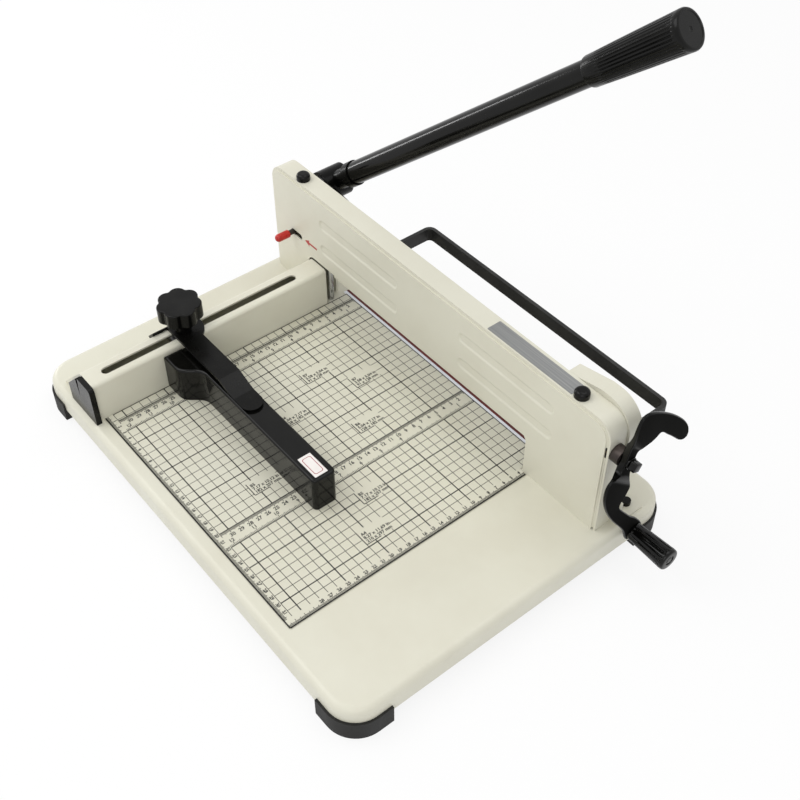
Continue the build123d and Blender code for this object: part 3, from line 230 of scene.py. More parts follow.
def finish(name, main, shade, patch=20.0, grain=900.0, gloss=(0.3, 0.5), bump=0.05, metal=0.0, dust=0.0,
           drawn=None, specular=0.5, dull_sides=0.0, edge_coat=0.0):
    """A procedural material.

    main and shade are its two tones, patch and grain the scales of its noise, gloss its lowest and highest
    roughness, drawn the stretch of drawn lines, and dull_sides the roughness of faces that look along X.
    """
    material = bpy.data.materials.new(name)
    material.use_nodes = True
    tree = material.node_tree
    shader = tree.nodes["Principled BSDF"]
    shader.inputs["Metallic"].default_value = metal
    shader.inputs["Specular IOR Level"].default_value = specular
    values = {"Main": srgb(*main), "Shade": srgb(*shade), "Gloss Low": gloss[0], "Gloss High": gloss[1]}
    if drawn:
        surface = use_group(tree, BRUSH, dict(values, Stretch=drawn))
    else:
        surface = use_group(tree, COAT, dict(values, **{"Patch Scale": patch, "Grain Scale": grain}))
    colour = surface.outputs["Colour"]
    if dust:
        layer = use_group(tree, DUST, {"Colour": colour, "Amount": dust})
        colour = layer.outputs["Colour"]
    tree.links.new(colour, shader.inputs["Base Color"])
    rough = surface.outputs["Roughness"]
    if dull_sides:
        flat = sideways(tree)
        rough = spread(tree, flat, *FLAT_FACE, rough, dull_sides)
        if edge_coat:
            tree.links.new(spread(tree, flat, *EDGE_FACE, edge_coat, 0.0), shader.inputs["Coat Weight"])
    tree.links.new(rough, shader.inputs["Roughness"])
    relief = tree.nodes.new("ShaderNodeBump")
    relief.inputs["Strength"].default_value = bump
    relief.inputs["Distance"].default_value = RELIEF_DEPTH
    tree.links.new(surface.outputs["Height"], relief.inputs["Height"])
    tree.links.new(relief.outputs["Normal"], shader.inputs["Normal"])
    return material


FINISHES = {
    "cream_paint": finish("cream powder coat", (219, 217, 201), (213, 210, 193), 9.0, 1100.0, (0.34, 0.44), 0.12),
    "black_gloss": finish("gloss black enamel", (7, 7, 6), (11, 11, 9), 18.0, 500.0, (0.08, 0.15), 0.04,
                          dust=0.004, specular=0.22),
    "black_satin": finish("satin black enamel", (8, 8, 7), (12, 12, 10), 25.0, 1200.0, (0.22, 0.34), 0.12,
                          dust=0.006, specular=0.15),
    "black_rubber": finish("black rubber", (24, 24, 23), (32, 31, 29), 30.0, 1500.0, (0.55, 0.70), 0.25, dust=0.03,
                           specular=0.3),
    "black_plastic": finish("black moulded plastic", (7, 7, 6), (12, 12, 11), 30.0, 1400.0, (0.16, 0.28), 0.10,
                            dust=0.008, specular=0.18),
    "grey_guard": finish("dark grey guard coat", (34, 34, 33), (27, 27, 26), 30.0, 1300.0, (0.42, 0.55), 0.20,
                         dust=0.03, specular=0.3),
    "scale_print": finish("printed table film", (216, 214, 197), (211, 208, 190), 6.0, 1500.0, (0.28, 0.36), 0.03),
    # silver: the aluminium's own pale tone, pushed to near white with no metal so the strip reads bright though it
    # lies in the gantry's shade: painted light on the strip
    "silver": finish("drawn aluminium painted bright", (246, 248, 253), (234, 237, 244), gloss=(0.30, 0.45), bump=0.05,
                     drawn=(6.0, 1200.0, 1200.0)),
    "stick_red": finish("dark red cutting stick", (104, 18, 13), (80, 13, 10), 40.0, 900.0, (0.35, 0.5), 0.08),
    "lock_red": finish("red vinyl tip", (196, 36, 26), (170, 26, 20), 60.0, 900.0, (0.22, 0.34), 0.05),
    "steel": finish("drawn steel", (150, 150, 150), (120, 120, 122), gloss=(0.25, 0.42), bump=0.06, metal=1.0,
                    drawn=(10.0, 900.0, 900.0)),
    "chrome": finish("polished rod", (205, 206, 208), (190, 191, 194), 30.0, 400.0, (0.06, 0.12), 0.02, metal=1.0),
    "brass": finish("brass bush", (190, 150, 84), (160, 122, 62), 30.0, 600.0, (0.25, 0.4), 0.05, metal=1.0),
    "dark_steel": finish("blackened steel", (66, 58, 54), (48, 43, 41), 40.0, 800.0, (0.32, 0.48), 0.10, metal=0.6),
}
CRANK_BLACK = finish("crank black enamel", (7, 7, 6), (11, 11, 9), 30.0, 700.0, (0.14, 0.22), 0.06, specular=0.08,
                     dull_sides=0.85, edge_coat=0.15)
LEVER_BLACK = finish("lever black enamel", (7, 7, 6), (11, 11, 10), 30.0, 900.0, (0.12, 0.20), 0.06, specular=0.2)
KNOB_BLACK = finish("crank knob plastic", (7, 7, 6), (11, 11, 10), 30.0, 1400.0, (0.05, 0.10), 0.04, specular=0.24)
HUB_BLACK = finish("hub black enamel", (6, 6, 5), (10, 10, 9), 40.0, 900.0, (0.20, 0.32), 0.10, specular=0.10)
OWN_FINISHES = {"crank_arm": CRANK_BLACK, "lever_hub": HUB_BLACK, "lever_tube": LEVER_BLACK}
INK = finish("black table ink", (20, 20, 18), (30, 30, 27), 60.0, 900.0, (0.40, 0.55), 0.02)
RED_INK = finish("red arrow ink", (176, 34, 28), (160, 28, 24), 60.0, 900.0, (0.40, 0.55), 0.02)
BARE_PLATE = finish("bare silver plate", (166, 167, 166), (138, 139, 139), gloss=(0.30, 0.42), bump=0.04, metal=0.8,
                    drawn=(8.0, 1100.0, 1100.0))
STICKER = finish("white paper sticker", (238, 234, 230), (228, 222, 218), 40.0, 900.0, (0.45, 0.6), 0.04)
STICKER_INK = finish("dull red sticker border", (170, 96, 96), (160, 86, 88), 60.0, 900.0, (0.45, 0.6), 0.02)


def dress_cad_nodes():
    for node, slot in SLOTS.items():
        piece = NODES[node]
        piece.data.materials.clear()
        piece.data.materials.append(OWN_FINISHES.get(node, FINISHES[slot]))


# Meshes made in this script

def keep(name, mesh, material, body):
    """The mesh as a piece of the cutter that rides on a body."""
    mesh.materials.clear()
    mesh.materials.append(material)
    piece = bpy.data.objects.new(name, mesh)
    bpy.context.scene.collection.objects.link(piece)
    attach(piece, body)
    return piece


def join_meshes(name, meshes):
    whole = bmesh.new()
    for mesh in meshes:
        whole.from_mesh(mesh)
        bpy.data.meshes.remove(mesh)
    joined = bpy.data.meshes.new(name)
    whole.to_mesh(joined)
    whole.free()
    return joined


def skin(shape, loops):
    """Faces between neighbouring loops of corners, with both ends closed."""
    sides = len(loops[0])
    for first, second in zip(loops, loops[1:]):
        for n in range(sides):
            m = (n + 1) % sides
            shape.faces.new((first[n], first[m], second[m], second[n]))
    shape.faces.new(loops[0])
    shape.faces.new(loops[-1])


def raise_face(shape, ring, way):
    """A thin plate: the ring's face carried along the way."""
    lifted = bmesh.ops.extrude_face_region(shape, geom=[shape.faces.new(ring)])
    far = [item for item in lifted["geom"] if isinstance(item, bmesh.types.BMVert)]
    bmesh.ops.translate(shape, verts=far, vec=Vector(way) * MM)


def finished_mesh(name, shape):
    bmesh.ops.recalc_face_normals(shape, faces=shape.faces)
    mesh = bpy.data.meshes.new(name)
    shape.to_mesh(mesh)
    shape.free()
    return mesh


def soften(mesh):
    """Smooth shading that stays crisp at creases."""
    mesh.shade_smooth()
    mesh.set_sharp_from_angle(angle=CREASE)
    return mesh


def make_row_tree():
    """Equal bars set out in a row: grid lines and ruler strokes."""
    tree = bpy.data.node_groups.new("row of bars", "GeometryNodeTree")
    tree.interface.new_socket("Geometry", in_out="INPUT", socket_type="NodeSocketGeometry")
    for label, kind in (("Count", "NodeSocketInt"), ("Start", "NodeSocketVector"), ("Step", "NodeSocketVector"),
                        ("Bar", "NodeSocketVector"), ("Finish", "NodeSocketMaterial")):
        tree.interface.new_socket(label, in_out="INPUT", socket_type=kind)
    tree.interface.new_socket("Geometry", in_out="OUTPUT", socket_type="NodeSocketGeometry")
    given = tree.nodes.new("NodeGroupInput")
    out = tree.nodes.new("NodeGroupOutput")
    row = tree.nodes.new("GeometryNodeMeshLine")
    row.mode = "OFFSET"
    bar = tree.nodes.new("GeometryNodeMeshCube")
    spots = tree.nodes.new("GeometryNodeInstanceOnPoints")
    real = tree.nodes.new("GeometryNodeRealizeInstances")
    paint = tree.nodes.new("GeometryNodeSetMaterial")
    link = tree.links.new
    link(given.outputs["Count"], row.inputs["Count"])
    link(given.outputs["Start"], row.inputs["Start Location"])
    link(given.outputs["Step"], row.inputs["Offset"])
    link(given.outputs["Bar"], bar.inputs["Size"])
    link(row.outputs["Mesh"], spots.inputs["Points"])
    link(bar.outputs["Mesh"], spots.inputs["Instance"])
    link(spots.outputs["Instances"], real.inputs["Geometry"])
    link(real.outputs["Geometry"], paint.inputs["Geometry"])
    link(given.outputs["Finish"], paint.inputs["Material"])
    link(paint.outputs["Geometry"], out.inputs["Geometry"])
    return tree


ROW_TREE = make_row_tree()
ROW_INPUTS = {item.name: item.identifier for item in ROW_TREE.interface.items_tree
              if item.item_type == "SOCKET" and item.in_out == "INPUT"}


def row_of_bars(count, start, step, bar, material):
    """The row as a plain mesh; start is the middle of the first bar."""
    holder = bpy.data.objects.new("row", bpy.data.meshes.new("row"))
    bpy.context.scene.collection.objects.link(holder)
    modifier = holder.modifiers.new("row", "NODES")
    modifier.node_group = ROW_TREE
    modifier[ROW_INPUTS["Count"]] = count
    modifier[ROW_INPUTS["Start"]] = tuple(place(*start))
    modifier[ROW_INPUTS["Step"]] = tuple(Vector(step) * MM)
    modifier[ROW_INPUTS["Bar"]] = tuple(Vector(bar) * MM)
    modifier[ROW_INPUTS["Finish"]] = material
    depsgraph = bpy.context.evaluated_depsgraph_get()
    mesh = bpy.data.meshes.new_from_object(holder.evaluated_get(depsgraph), depsgraph=depsgraph)
    bpy.data.objects.remove(holder)
    return mesh


def one_bar(middle, size, material):
    return row_of_bars(1, middle, (0, 0, 0), size, material)


def text_mesh(words, size, x, y, z, turn, align="CENTER"):
    """Flat figures as a mesh lying on the table; turn is about +Z in degrees."""
    curve = bpy.data.curves.new("figures", "FONT")
    curve.body = words
    curve.size = size * MM
    curve.align_x = align
    curve.align_y = "CENTER"
    curve.extrude = INK_H * MM / 2
    curve.offset = FIGURE_WEIGHT * MM
    curve.resolution_u = FIGURE_STEPS
    holder = bpy.data.objects.new("figures", curve)
    bpy.context.scene.collection.objects.link(holder)
    depsgraph = bpy.context.evaluated_depsgraph_get()
    mesh = bpy.data.meshes.new_from_object(holder.evaluated_get(depsgraph), depsgraph=depsgraph)
    bpy.data.objects.remove(holder)
    bpy.data.curves.remove(curve)
    mesh.transform(Matrix.Translation(place(x, y, z)) @ Matrix.Rotation(math.radians(turn), 4, "Z"))
    return mesh


# Table print: centimetre grid, rulers and paper size marks

GRID_NEAR, GRID_FAR = -310.0, -8.7
GRID_LEFT, GRID_RIGHT = 0.5, 317.0
GRID_COLUMNS, GRID_ROWS = range(1, 32), range(2, 32)
BOLD_EVERY = 5
FILM_EDGE, FILM_CORNER_R = (-9.3, -8.3), 0.4
PRINT_NEAR, PRINT_RIGHT = -318.6, 326.6
SIDE_RULER_FAR = -36.0
FENCE_BAND = (12.0, 30.0)
MID_BAND = (200.0, 220.0)
MIDDLE_Z = TABLE_Z + INK_H / 2
THIN, BOLD, STROKE, EDGE, BORDER = 0.6, 1.2, 0.6, 1.0, 1.5
CM, INCH = 10.0, 25.4
CM_PARTS, INCH_PARTS = 10, 16
# Strokes of a ruler: one in so many parts, and its length
MILLIMETRES = ((1, 3.2), (5, 4.2), (10, 5.2))
SIXTEENTHS = ((1, 2.8), (4, 3.6), (16, 5.0))
BAND_CMS, BAND_INCHES, SIDE_CMS, NEAR_CMS = range(2, 31), range(1, 13), range(4, 29), range(1, 32)
CM_FIGURE, INCH_FIGURE, EDGE_FIGURE = 5.8, 5.4, 4.8
CM_FIGURE_LEFT, INCH_FIGURE_RIGHT, EDGE_FIGURE_IN = 2.2, 3.2, 5.6
QUARTER_TURN = 90


def lines_along_y(places, width):
    """Lines away from the operator at the given X places."""
    mid = (GRID_NEAR + GRID_FAR) / 2
    return [one_bar((x, mid, MIDDLE_Z), (width, GRID_FAR - GRID_NEAR, INK_H), INK) for x in places]


def grid_lines():
    """The centimetre grid, left out where the two ruler bands run."""
    clear = [n for n in GRID_COLUMNS if not any(a <= n * CM <= b for a, b in (FENCE_BAND, MID_BAND))]
    meshes = lines_along_y([n * CM for n in clear if n % BOLD_EVERY], THIN)
    meshes += lines_along_y([n * CM for n in clear if n % BOLD_EVERY == 0], BOLD)
    for left, right in ((GRID_LEFT, FENCE_BAND[0]), (FENCE_BAND[1], MID_BAND[0]), (MID_BAND[1], GRID_RIGHT)):
        mid = (left + right) / 2
        for n in GRID_ROWS:
            width = THIN if n % BOLD_EVERY else BOLD
            meshes.append(one_bar((mid, -n * CM, MIDDLE_Z), (right - left, width, INK_H), INK))
    return meshes


def ruler_along_y(edge, side, unit, parts, lengths, far, near):
    """Strokes along a band's edge; side is the way they point, and parts are the strokes in one unit."""
    meshes = []
    step = unit / parts
    for every, length in lengths:
        first = math.ceil(-far / (step * every)) * step * every
        count = int((-near - first) / (step * every)) + 1
        start = (edge + side * length / 2, -first, MIDDLE_Z)
        meshes.append(row_of_bars(count, start, (0, -step * every, 0), (length, STROKE, INK_H), INK))
    return meshes


def figures_along_y(numbers, unit, size, x):
    return [text_mesh(str(n), size, x, -n * unit, MIDDLE_Z, QUARTER_TURN) for n in numbers]


def rulers():
    """Strokes and figures of the two bands, and of the right and near edges."""
    meshes = []
    for left, right in (FENCE_BAND, MID_BAND):
        meshes += ruler_along_y(left, 1, CM, CM_PARTS, MILLIMETRES, GRID_FAR, GRID_NEAR)
        meshes += ruler_along_y(right, -1, INCH, INCH_PARTS, SIXTEENTHS, GRID_FAR, GRID_NEAR)
        meshes += lines_along_y((left, right), EDGE)
        middle = (left + right) / 2
        meshes += figures_along_y(BAND_CMS, CM, CM_FIGURE, middle - CM_FIGURE_LEFT)
        meshes += figures_along_y(BAND_INCHES, INCH, INCH_FIGURE, middle + INCH_FIGURE_RIGHT)
    meshes += ruler_along_y(PRINT_RIGHT, -1, CM, CM_PARTS, MILLIMETRES, SIDE_RULER_FAR, PRINT_NEAR)
    meshes += figures_along_y(SIDE_CMS, CM, EDGE_FIGURE, PRINT_RIGHT - EDGE_FIGURE_IN)
    for every, length in MILLIMETRES:
        count = int(GRID_RIGHT / every)
        start = (every, PRINT_NEAR + length / 2, MIDDLE_Z)
        meshes.append(row_of_bars(count, start, (every, 0, 0), (STROKE, length, INK_H), INK))
    for n in NEAR_CMS:
        meshes.append(text_mesh(str(n), EDGE_FIGURE, n * CM, PRINT_NEAR + EDGE_FIGURE_IN, MIDDLE_Z, 0))
    return meshes


def print_border():
    mid_x = (PRINT_RIGHT + GRID_LEFT) / 2
    mid_y = (PRINT_NEAR + SIDE_RULER_FAR) / 2
    grid_mid = (GRID_LEFT + GRID_RIGHT) / 2
    return [
        one_bar((mid_x, PRINT_NEAR, MIDDLE_Z), (PRINT_RIGHT - GRID_LEFT, BORDER, INK_H), INK),
        one_bar((PRINT_RIGHT, mid_y, MIDDLE_Z), (BORDER, SIDE_RULER_FAR - PRINT_NEAR, INK_H), INK),
        one_bar((grid_mid, GRID_FAR, MIDDLE_Z), (GRID_RIGHT - GRID_LEFT, EDGE, INK_H), INK),
    ] + lines_along_y([GRID_LEFT + EDGE / 2], EDGE)


SIZE_MARKS = ((91, 128, "B7"), (128, 91, "B7"), (128, 182, "B6"), (182, 128, "B6"), (182, 257, "B5"),
              (257, 182, "B5"), (297, 210, "A4"))
MARK_ARM, MARK_LINE = 17.0, 0.9
MARK_FIGURE, MARK_INDENT = 5.0, 2.4
MARK_ROWS = (12.2, 7.6, 3.0)
PATCH_SIDE, PATCH_MIDDLE, PATCH_DEPTH = 1.0, 16.0, 31.0


def size_marks():
    """A corner and three lines of figures where a sheet of that size ends, on a patch without grid."""
    inks, patches = [], []
    top = TABLE_Z + 2 * INK_H
    for wide, deep, words in SIZE_MARKS:
        y = -float(deep)
        inks.append(one_bar((wide - MARK_ARM / 2, y, top), (MARK_ARM, MARK_LINE, INK_H), INK))
        inks.append(one_bar((wide, y + MARK_ARM / 2, top), (MARK_LINE, MARK_ARM, INK_H), INK))
        patch = (wide - MARK_ARM / 2 - PATCH_SIDE, y + PATCH_MIDDLE, TABLE_Z + INK_H)
        patches.append(one_bar(patch, (MARK_ARM + PATCH_SIDE, PATCH_DEPTH, INK_H), FINISHES["scale_print"]))
        short, long = sorted((wide, deep))
        lines = (words, "%.2f x %.2f in" % (short / INCH, long / INCH), "%d x %d mm" % (short, long))
        for back, line in zip(MARK_ROWS, lines):
            inks.append(text_mesh(line, MARK_FIGURE, wide - back, y + MARK_INDENT, top, QUARTER_TURN, align="LEFT"))
    return inks, patches


def table_print():
    film = FINISHES["scale_print"]
    marks, patches = size_marks()
    ink = join_meshes("table_ink", grid_lines() + rulers() + print_border() + marks)
    keep("table_ink", ink, INK, "frame")
    lip = rounded_plate("table_film_lip", GRID_LEFT, GRID_RIGHT, *FILM_EDGE, TABLE_Z - INK_H / 4, INK_H / 2,
                        FILM_CORNER_R)
    keep("table_film_lip", lip, film, "frame")
    keep("table_mark_patches", join_meshes("table_mark_patches", patches), film, "frame")


# Bare plate, sticker, panel rim and arrow

CORNER_STEPS = 6


def rounded_plate(name, x0, x1, y0, y1, z0, thick, radius):
    """A thin plate with rounded corners lying flat."""
    shape = bmesh.new()
    ring = []
    for cx, cy, first in ((x1 - radius, y1 - radius, 0), (x0 + radius, y1 - radius, 90),
                          (x0 + radius, y0 + radius, 180), (x1 - radius, y0 + radius, 270)):
        for n in range(CORNER_STEPS + 1):
            angle = math.radians(first + 90 * n / CORNER_STEPS)
            ring.append(shape.verts.new(place(cx + radius * math.cos(angle), cy + radius * math.sin(angle), z0)))
    raise_face(shape, ring, (0, 0, thick))
    return finished_mesh(name, shape)


# Name, node that carries it, X and Y edges, thickness, corner radius, finish, body and slot
FLAT_TRIM = (
    ("bare_label_plate", "gantry_shell", (255.0, 366.0, -32.0, -15.5), 0.25, 1.0, BARE_PLATE, "frame", "silver"),
    ("gauge_sticker", "gauge_bar", (202.0, 231.0, -218.5, -204.0), 0.08, 0.6, STICKER, "gauge", "scale_print"),
    ("gauge_sticker_border", "gauge_bar", (205.0, 228.0, -216.3, -206.2), 0.12, 2.5, STICKER_INK, "gauge", "lock_red"),
    ("gauge_sticker_field", "gauge_bar", (205.7, 227.3, -215.6, -206.9), 0.16, 2.0, STICKER, "gauge", "scale_print"),
)


def small_trim():
    for name, carrier, edges, thick, corner_r, material, body, slot in FLAT_TRIM:
        top = node_box(carrier)[1].z
        keep(name, rounded_plate(name, *edges, top, thick, corner_r), material, body)


# Inset from the shell and corner radius of the rim's two edges
FOLD_OUTER, FOLD_INNER = (2.45, 17.55), (4.35, 16.0)
FOLD_FRONT, FOLD_BACK = 0.30, 0.05
FOLD_FOOT = 3.0
FOLD_STEPS = 10
RIM_SLOT = (6.5, 19.5)


def fold_section(shape, side, inward, angle, front, top, drop=0.0):
    """Four corners of the fold where it has turned by the angle; drop is how far it has run down the side."""
    section = []
    for (inset, radius), out in ((FOLD_OUTER, FOLD_FRONT), (FOLD_INNER, FOLD_FRONT), (FOLD_INNER, FOLD_BACK),
                                 (FOLD_OUTER, FOLD_BACK)):
        x = side + inward * (inset + radius) + radius * math.cos(angle)
        z = top - inset - radius + radius * math.sin(angle)
        section.append(shape.verts.new(place(x, front - out, z - drop)))
    return section


def panel_top_fold():
    """The panel's folded rim, which closes the slit along the shell but for a slot on the right."""
    low, high = node_box("gantry_shell")
    run = high.z - low.z - sum(FOLD_OUTER) - FOLD_FOOT
    shape = bmesh.new()
    rim = [fold_section(shape, low.x, 1, math.pi, low.y, high.z, run)]
    for side, inward, first in ((low.x, 1, 180), (high.x, -1, 90)):
        for n in range(FOLD_STEPS + 1):
            angle = math.radians(first - 90 * n / FOLD_STEPS)
            rim.append(fold_section(shape, side, inward, angle, low.y, high.z))
    slot_top, slot_foot = RIM_SLOT
    rim.append(fold_section(shape, high.x, -1, 0.0, low.y, high.z, slot_top))
    skin(shape, rim)
    skin(shape, [fold_section(shape, high.x, -1, 0.0, low.y, high.z, drop) for drop in (slot_foot, run)])
    keep("panel_top_fold", finished_mesh("panel_top_fold", shape), FINISHES["cream_paint"], "frame")


ARROW_X, ARROW_Z = (-36.7, -14.6), 67.4
ARROW_HEAD_L, ARROW_HEAD_HALF, ARROW_SHAFT_HALF = 8.0, 4.2, 1.3
ARROW_T = 0.06


def lock_arrow():
    """A red arrow on the panel that points towards the lock's free end."""
    tip, tail = ARROW_X
    neck = tip + ARROW_HEAD_L
    upper = ((neck, ARROW_HEAD_HALF), (neck, ARROW_SHAFT_HALF), (tail, ARROW_SHAFT_HALF))
    lower = [(x, -z) for x, z in reversed(upper)]
    front = node_box("front_panel")[0].y
    shape = bmesh.new()
    ring = [shape.verts.new(place(x, front, ARROW_Z + z)) for x, z in ((tip, 0), *upper, *lower)]
    raise_face(shape, ring, (0, -ARROW_T, 0))
    keep("lock_arrow", finished_mesh("lock_arrow", shape), RED_INK, "frame")


# Fluted grips of the lever and the crank

PIVOT = (-57.0, 20.3, 108.14)
LEVER_UP, LEVER_SPLAY = math.radians(40.0), math.radians(10.8)
# Each ring: its place along the grip, its radius and the share of the flutes' depth there
GRIP_RINGS = ((386.0, 13.2, 0), (386.6, 14.2, 0), (388.0, 14.6, 0), (399.0, 14.9, 0), (403.0, 15.1, 0.4),
              (408.0, 15.3, 1), (420.0, 15.8, 1), (445.0, 16.7, 1), (470.0, 17.5, 1), (484.5, 18.0, 1),
              (486.5, 18.1, 0.3), (488.0, 18.2, 0), (491.0, 18.2, 0), (492.5, 17.5, 0), (493.0, 16.4, 0),
              (493.0, 15.2, 0), (492.4, 14.7, 0), (492.4, 2.4, 0), (491.8, 1.9, 0), (491.6, 0.4, 0))
KNOB_AT = (442.3, -5.83, 1.07)
KNOB_RINGS = ((36.3, 0.4, 0), (36.3, 4.05, 0), (0.0, 4.05, 0), (0.0, 8.7, 0), (0.5, 9.3, 0), (2.5, 9.5, 0),
              (4.0, 9.6, 1), (15.0, 10.1, 1), (28.0, 10.7, 1), (38.5, 11.2, 1), (41.0, 11.4, 0.4), (42.0, 11.4, 0),
              (43.8, 11.1, 0), (44.7, 10.3, 0), (45.0, 9.2, 0), (45.0, 5.4, 0), (44.2, 5.0, 0), (44.2, 3.4, 0),
              (44.8, 3.0, 0), (44.8, 0.4, 0))
GRIP_FLUTES, GRIP_FLUTE_DEPTH = 34, 0.9
KNOB_FLUTES, KNOB_FLUTE_DEPTH = 16, 1.4
FLUTE_SIDES, FLUTE_ROUNDING = 8, 0.6


def fluted_grip(name, start, way, side, rings, flutes, depth, material, body, node):
    """A turned grip with lengthwise flutes."""
    other = way.cross(side)
    sides = flutes * FLUTE_SIDES
    shape = bmesh.new()
    loops = []
    for along, radius, fluted in rings:
        loop = []
        for n in range(sides):
            angle = 2 * math.pi * n / sides
            out = radius - depth * fluted * max(0.0, math.cos(angle * flutes)) ** FLUTE_ROUNDING
            spot = Vector(start) + way * along + (side * math.cos(angle) + other * math.sin(angle)) * out
            loop.append(shape.verts.new(place(*spot)))
        loops.append(loop)
    skin(shape, loops)
    mesh = soften(finished_mesh(name, shape))
    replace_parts(keep(name, mesh, material, body), node)


def grips():
    across = math.cos(LEVER_SPLAY)
    way = Vector((across * math.cos(LEVER_UP), math.sin(LEVER_SPLAY), across * math.sin(LEVER_UP)))
    side = Vector((-math.sin(LEVER_UP), 0, math.cos(LEVER_UP)))
    fluted_grip("fluted_lever_grip", PIVOT, way, side, GRIP_RINGS, GRIP_FLUTES, GRIP_FLUTE_DEPTH,
                FINISHES["black_plastic"], "lever", "lever_grip")
    fluted_grip("fluted_crank_knob", KNOB_AT, Vector((1, 0, 0)), Vector((0, 1, 0)), KNOB_RINGS, KNOB_FLUTES,
                KNOB_FLUTE_DEPTH, KNOB_BLACK, "crank_grip", "crank_knob")


# Crank arm and its bolt

CRANK_THROW = 105.5
WAIST_T, WING_T = 8.0, 3.8
ARM_EDGE_R, ARM_EDGE_STEPS = 1.7, 4
ARM_EDGE_SHARE = 0.9
ARM_END_R = 11.0
# Y and Z of the outer edge, then of the inner edge, in shares of the throw, and the bend:
# 0 at the waist and 1 in the wings
ARM_STATIONS = (
    (0.660, -0.050, 0.640, -0.080, 1), (0.665, -0.010, 0.600, -0.085, 1), (0.640, 0.070, 0.545, -0.050, 1),
    (0.580, 0.165, 0.480, 0.020, 1), (0.510, 0.248, 0.420, 0.085, 1), (0.430, 0.330, 0.365, 0.140, 1),
    (0.350, 0.402, 0.320, 0.190, 1), (0.250, 0.480, 0.285, 0.222, 1), (0.150, 0.545, 0.255, 0.232, 1),
    (0.060, 0.582, 0.225, 0.215, 1), (-0.005, 0.570, 0.195, 0.200, 1), (-0.038, 0.515, 0.165, 0.190, 1),
    (-0.050, 0.445, 0.135, 0.182, 0.95), (-0.050, 0.370, 0.105, 0.168, 0.85), (-0.044, 0.290, 0.085, 0.140, 0.6),
    (-0.036, 0.210, 0.076, 0.105, 0.25), (-0.036, 0.120, 0.068, 0.055, 0.05), (-0.052, 0.030, 0.056, -0.028, 0),
    (-0.078, -0.040, 0.038, -0.095, 0), (-0.115, -0.075, 0.022, -0.150, 0.15), (-0.165, -0.055, 0.010, -0.195, 0.45),
    (-0.220, -0.025, 0.000, -0.230, 0.8), (-0.270, -0.020, -0.010, -0.260, 1), (-0.305, -0.060, -0.022, -0.290, 1),
    (-0.320, -0.130, -0.038, -0.325, 1), (-0.318, -0.215, -0.060, -0.360, 1), (-0.298, -0.305, -0.085, -0.395, 1),
    (-0.264, -0.400, -0.098, -0.440, 1), (-0.216, -0.500, -0.080, -0.490, 1), (-0.158, -0.600, -0.035, -0.555, 1),
    (-0.092, -0.700, 0.025, -0.635, 1), (-0.030, -0.790, 0.095, -0.725, 1), (0.034, -0.900, 0.180, -0.815, 1),
)
ARM_END_WAY = Vector((0.538, -0.843))
ARM_END_TURNS = (0, 30, 55, 75, 86)
ARM_STEPS = 4


def crank_middle():
    """Y and Z of the crank's axis."""
    low, high = node_box("crank_collar")
    return Vector(((low.y + high.y) / 2, (low.z + high.z) / 2))


def smooth_step(before, here, there, after, t):
    """A smooth curve from here to there, at the share t of the way."""
    return 0.5 * (2 * here + (there - before) * t + (2 * before - 5 * here + 4 * there - after) * t ** 2
                  + (3 * here - before - 3 * there + after) * t ** 3)


def arm_sections():
    """The arm's stations from the upper tip to its rounded end at the knob, with smooth steps between them."""
    rows = list(ARM_STATIONS)
    knob = Vector(KNOB_AT[1:]) - crank_middle()
    side = Vector((ARM_END_WAY.y, -ARM_END_WAY.x))
    for turn in ARM_END_TURNS:
        angle = math.radians(turn)
        middle = knob + ARM_END_WAY * ARM_END_R * math.sin(angle)
        reach = side * ARM_END_R * math.cos(angle)
        rows.append((*((middle + reach) / CRANK_THROW), *((middle - reach) / CRANK_THROW), 1))
    last = len(rows) - 1
    sections = []
    for n in range(last):
        near = [rows[max(0, min(last, n + k))] for k in (-1, 0, 1, 2)]
        for step in range(ARM_STEPS):
            sections.append([smooth_step(*values, step / ARM_STEPS) for values in zip(*near)])
    return sections + [rows[-1]]


def bent_crank_arm():
    """The S-shaped arm: two flat wings and a narrow waist that bends in towards the shell."""
    low, high = node_box("crank_arm")
    middle = crank_middle()
    shape = bmesh.new()
    loops = []
    for outer_y, outer_z, inner_y, inner_z, bend in arm_sections():
        outer = middle + Vector((outer_y, outer_z)) * CRANK_THROW
        inner = middle + Vector((inner_y, inner_z)) * CRANK_THROW
        bend = max(0.0, min(1.0, bend))
        front = low.x + WAIST_T + (high.x - low.x - WAIST_T) * bend
        back = low.x + (high.x - WING_T - low.x) * bend
        half = (inner - outer).length / 2
        across = (inner - outer).normalized()
        centre = (inner + outer) / 2
        round_x = min(ARM_EDGE_R, (front - back) / 2)
        round_w = min(ARM_EDGE_R, half * ARM_EDGE_SHARE)
        loop = []
        for sign_w, corner_x, first in ((1, front - round_x, 0), (-1, front - round_x, 90),
                                        (-1, back + round_x, 180), (1, back + round_x, 270)):
            for n in range(ARM_EDGE_STEPS + 1):
                angle = math.radians(first + 90 * n / ARM_EDGE_STEPS)
                spot = centre + across * (sign_w * (half - round_w) + round_w * math.cos(angle))
                loop.append(shape.verts.new(place(corner_x + round_x * math.sin(angle), *spot)))
        loops.append(loop)
    skin(shape, loops)
    mesh = soften(finished_mesh("bent_crank_arm", shape))
    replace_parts(keep("bent_crank_arm", mesh, CRANK_BLACK, "crank"), "crank_arm")


BOLT_W, BOLT_TURN = 9.0, math.radians(62.0)
WASHER_R, WASHER_T, WASHER_SIDES = 6.3, 1.5, 40
BOLT_EDGE, WASHER_EDGE, EDGE_CUTS = 1.0, 1.0 / 3, 3


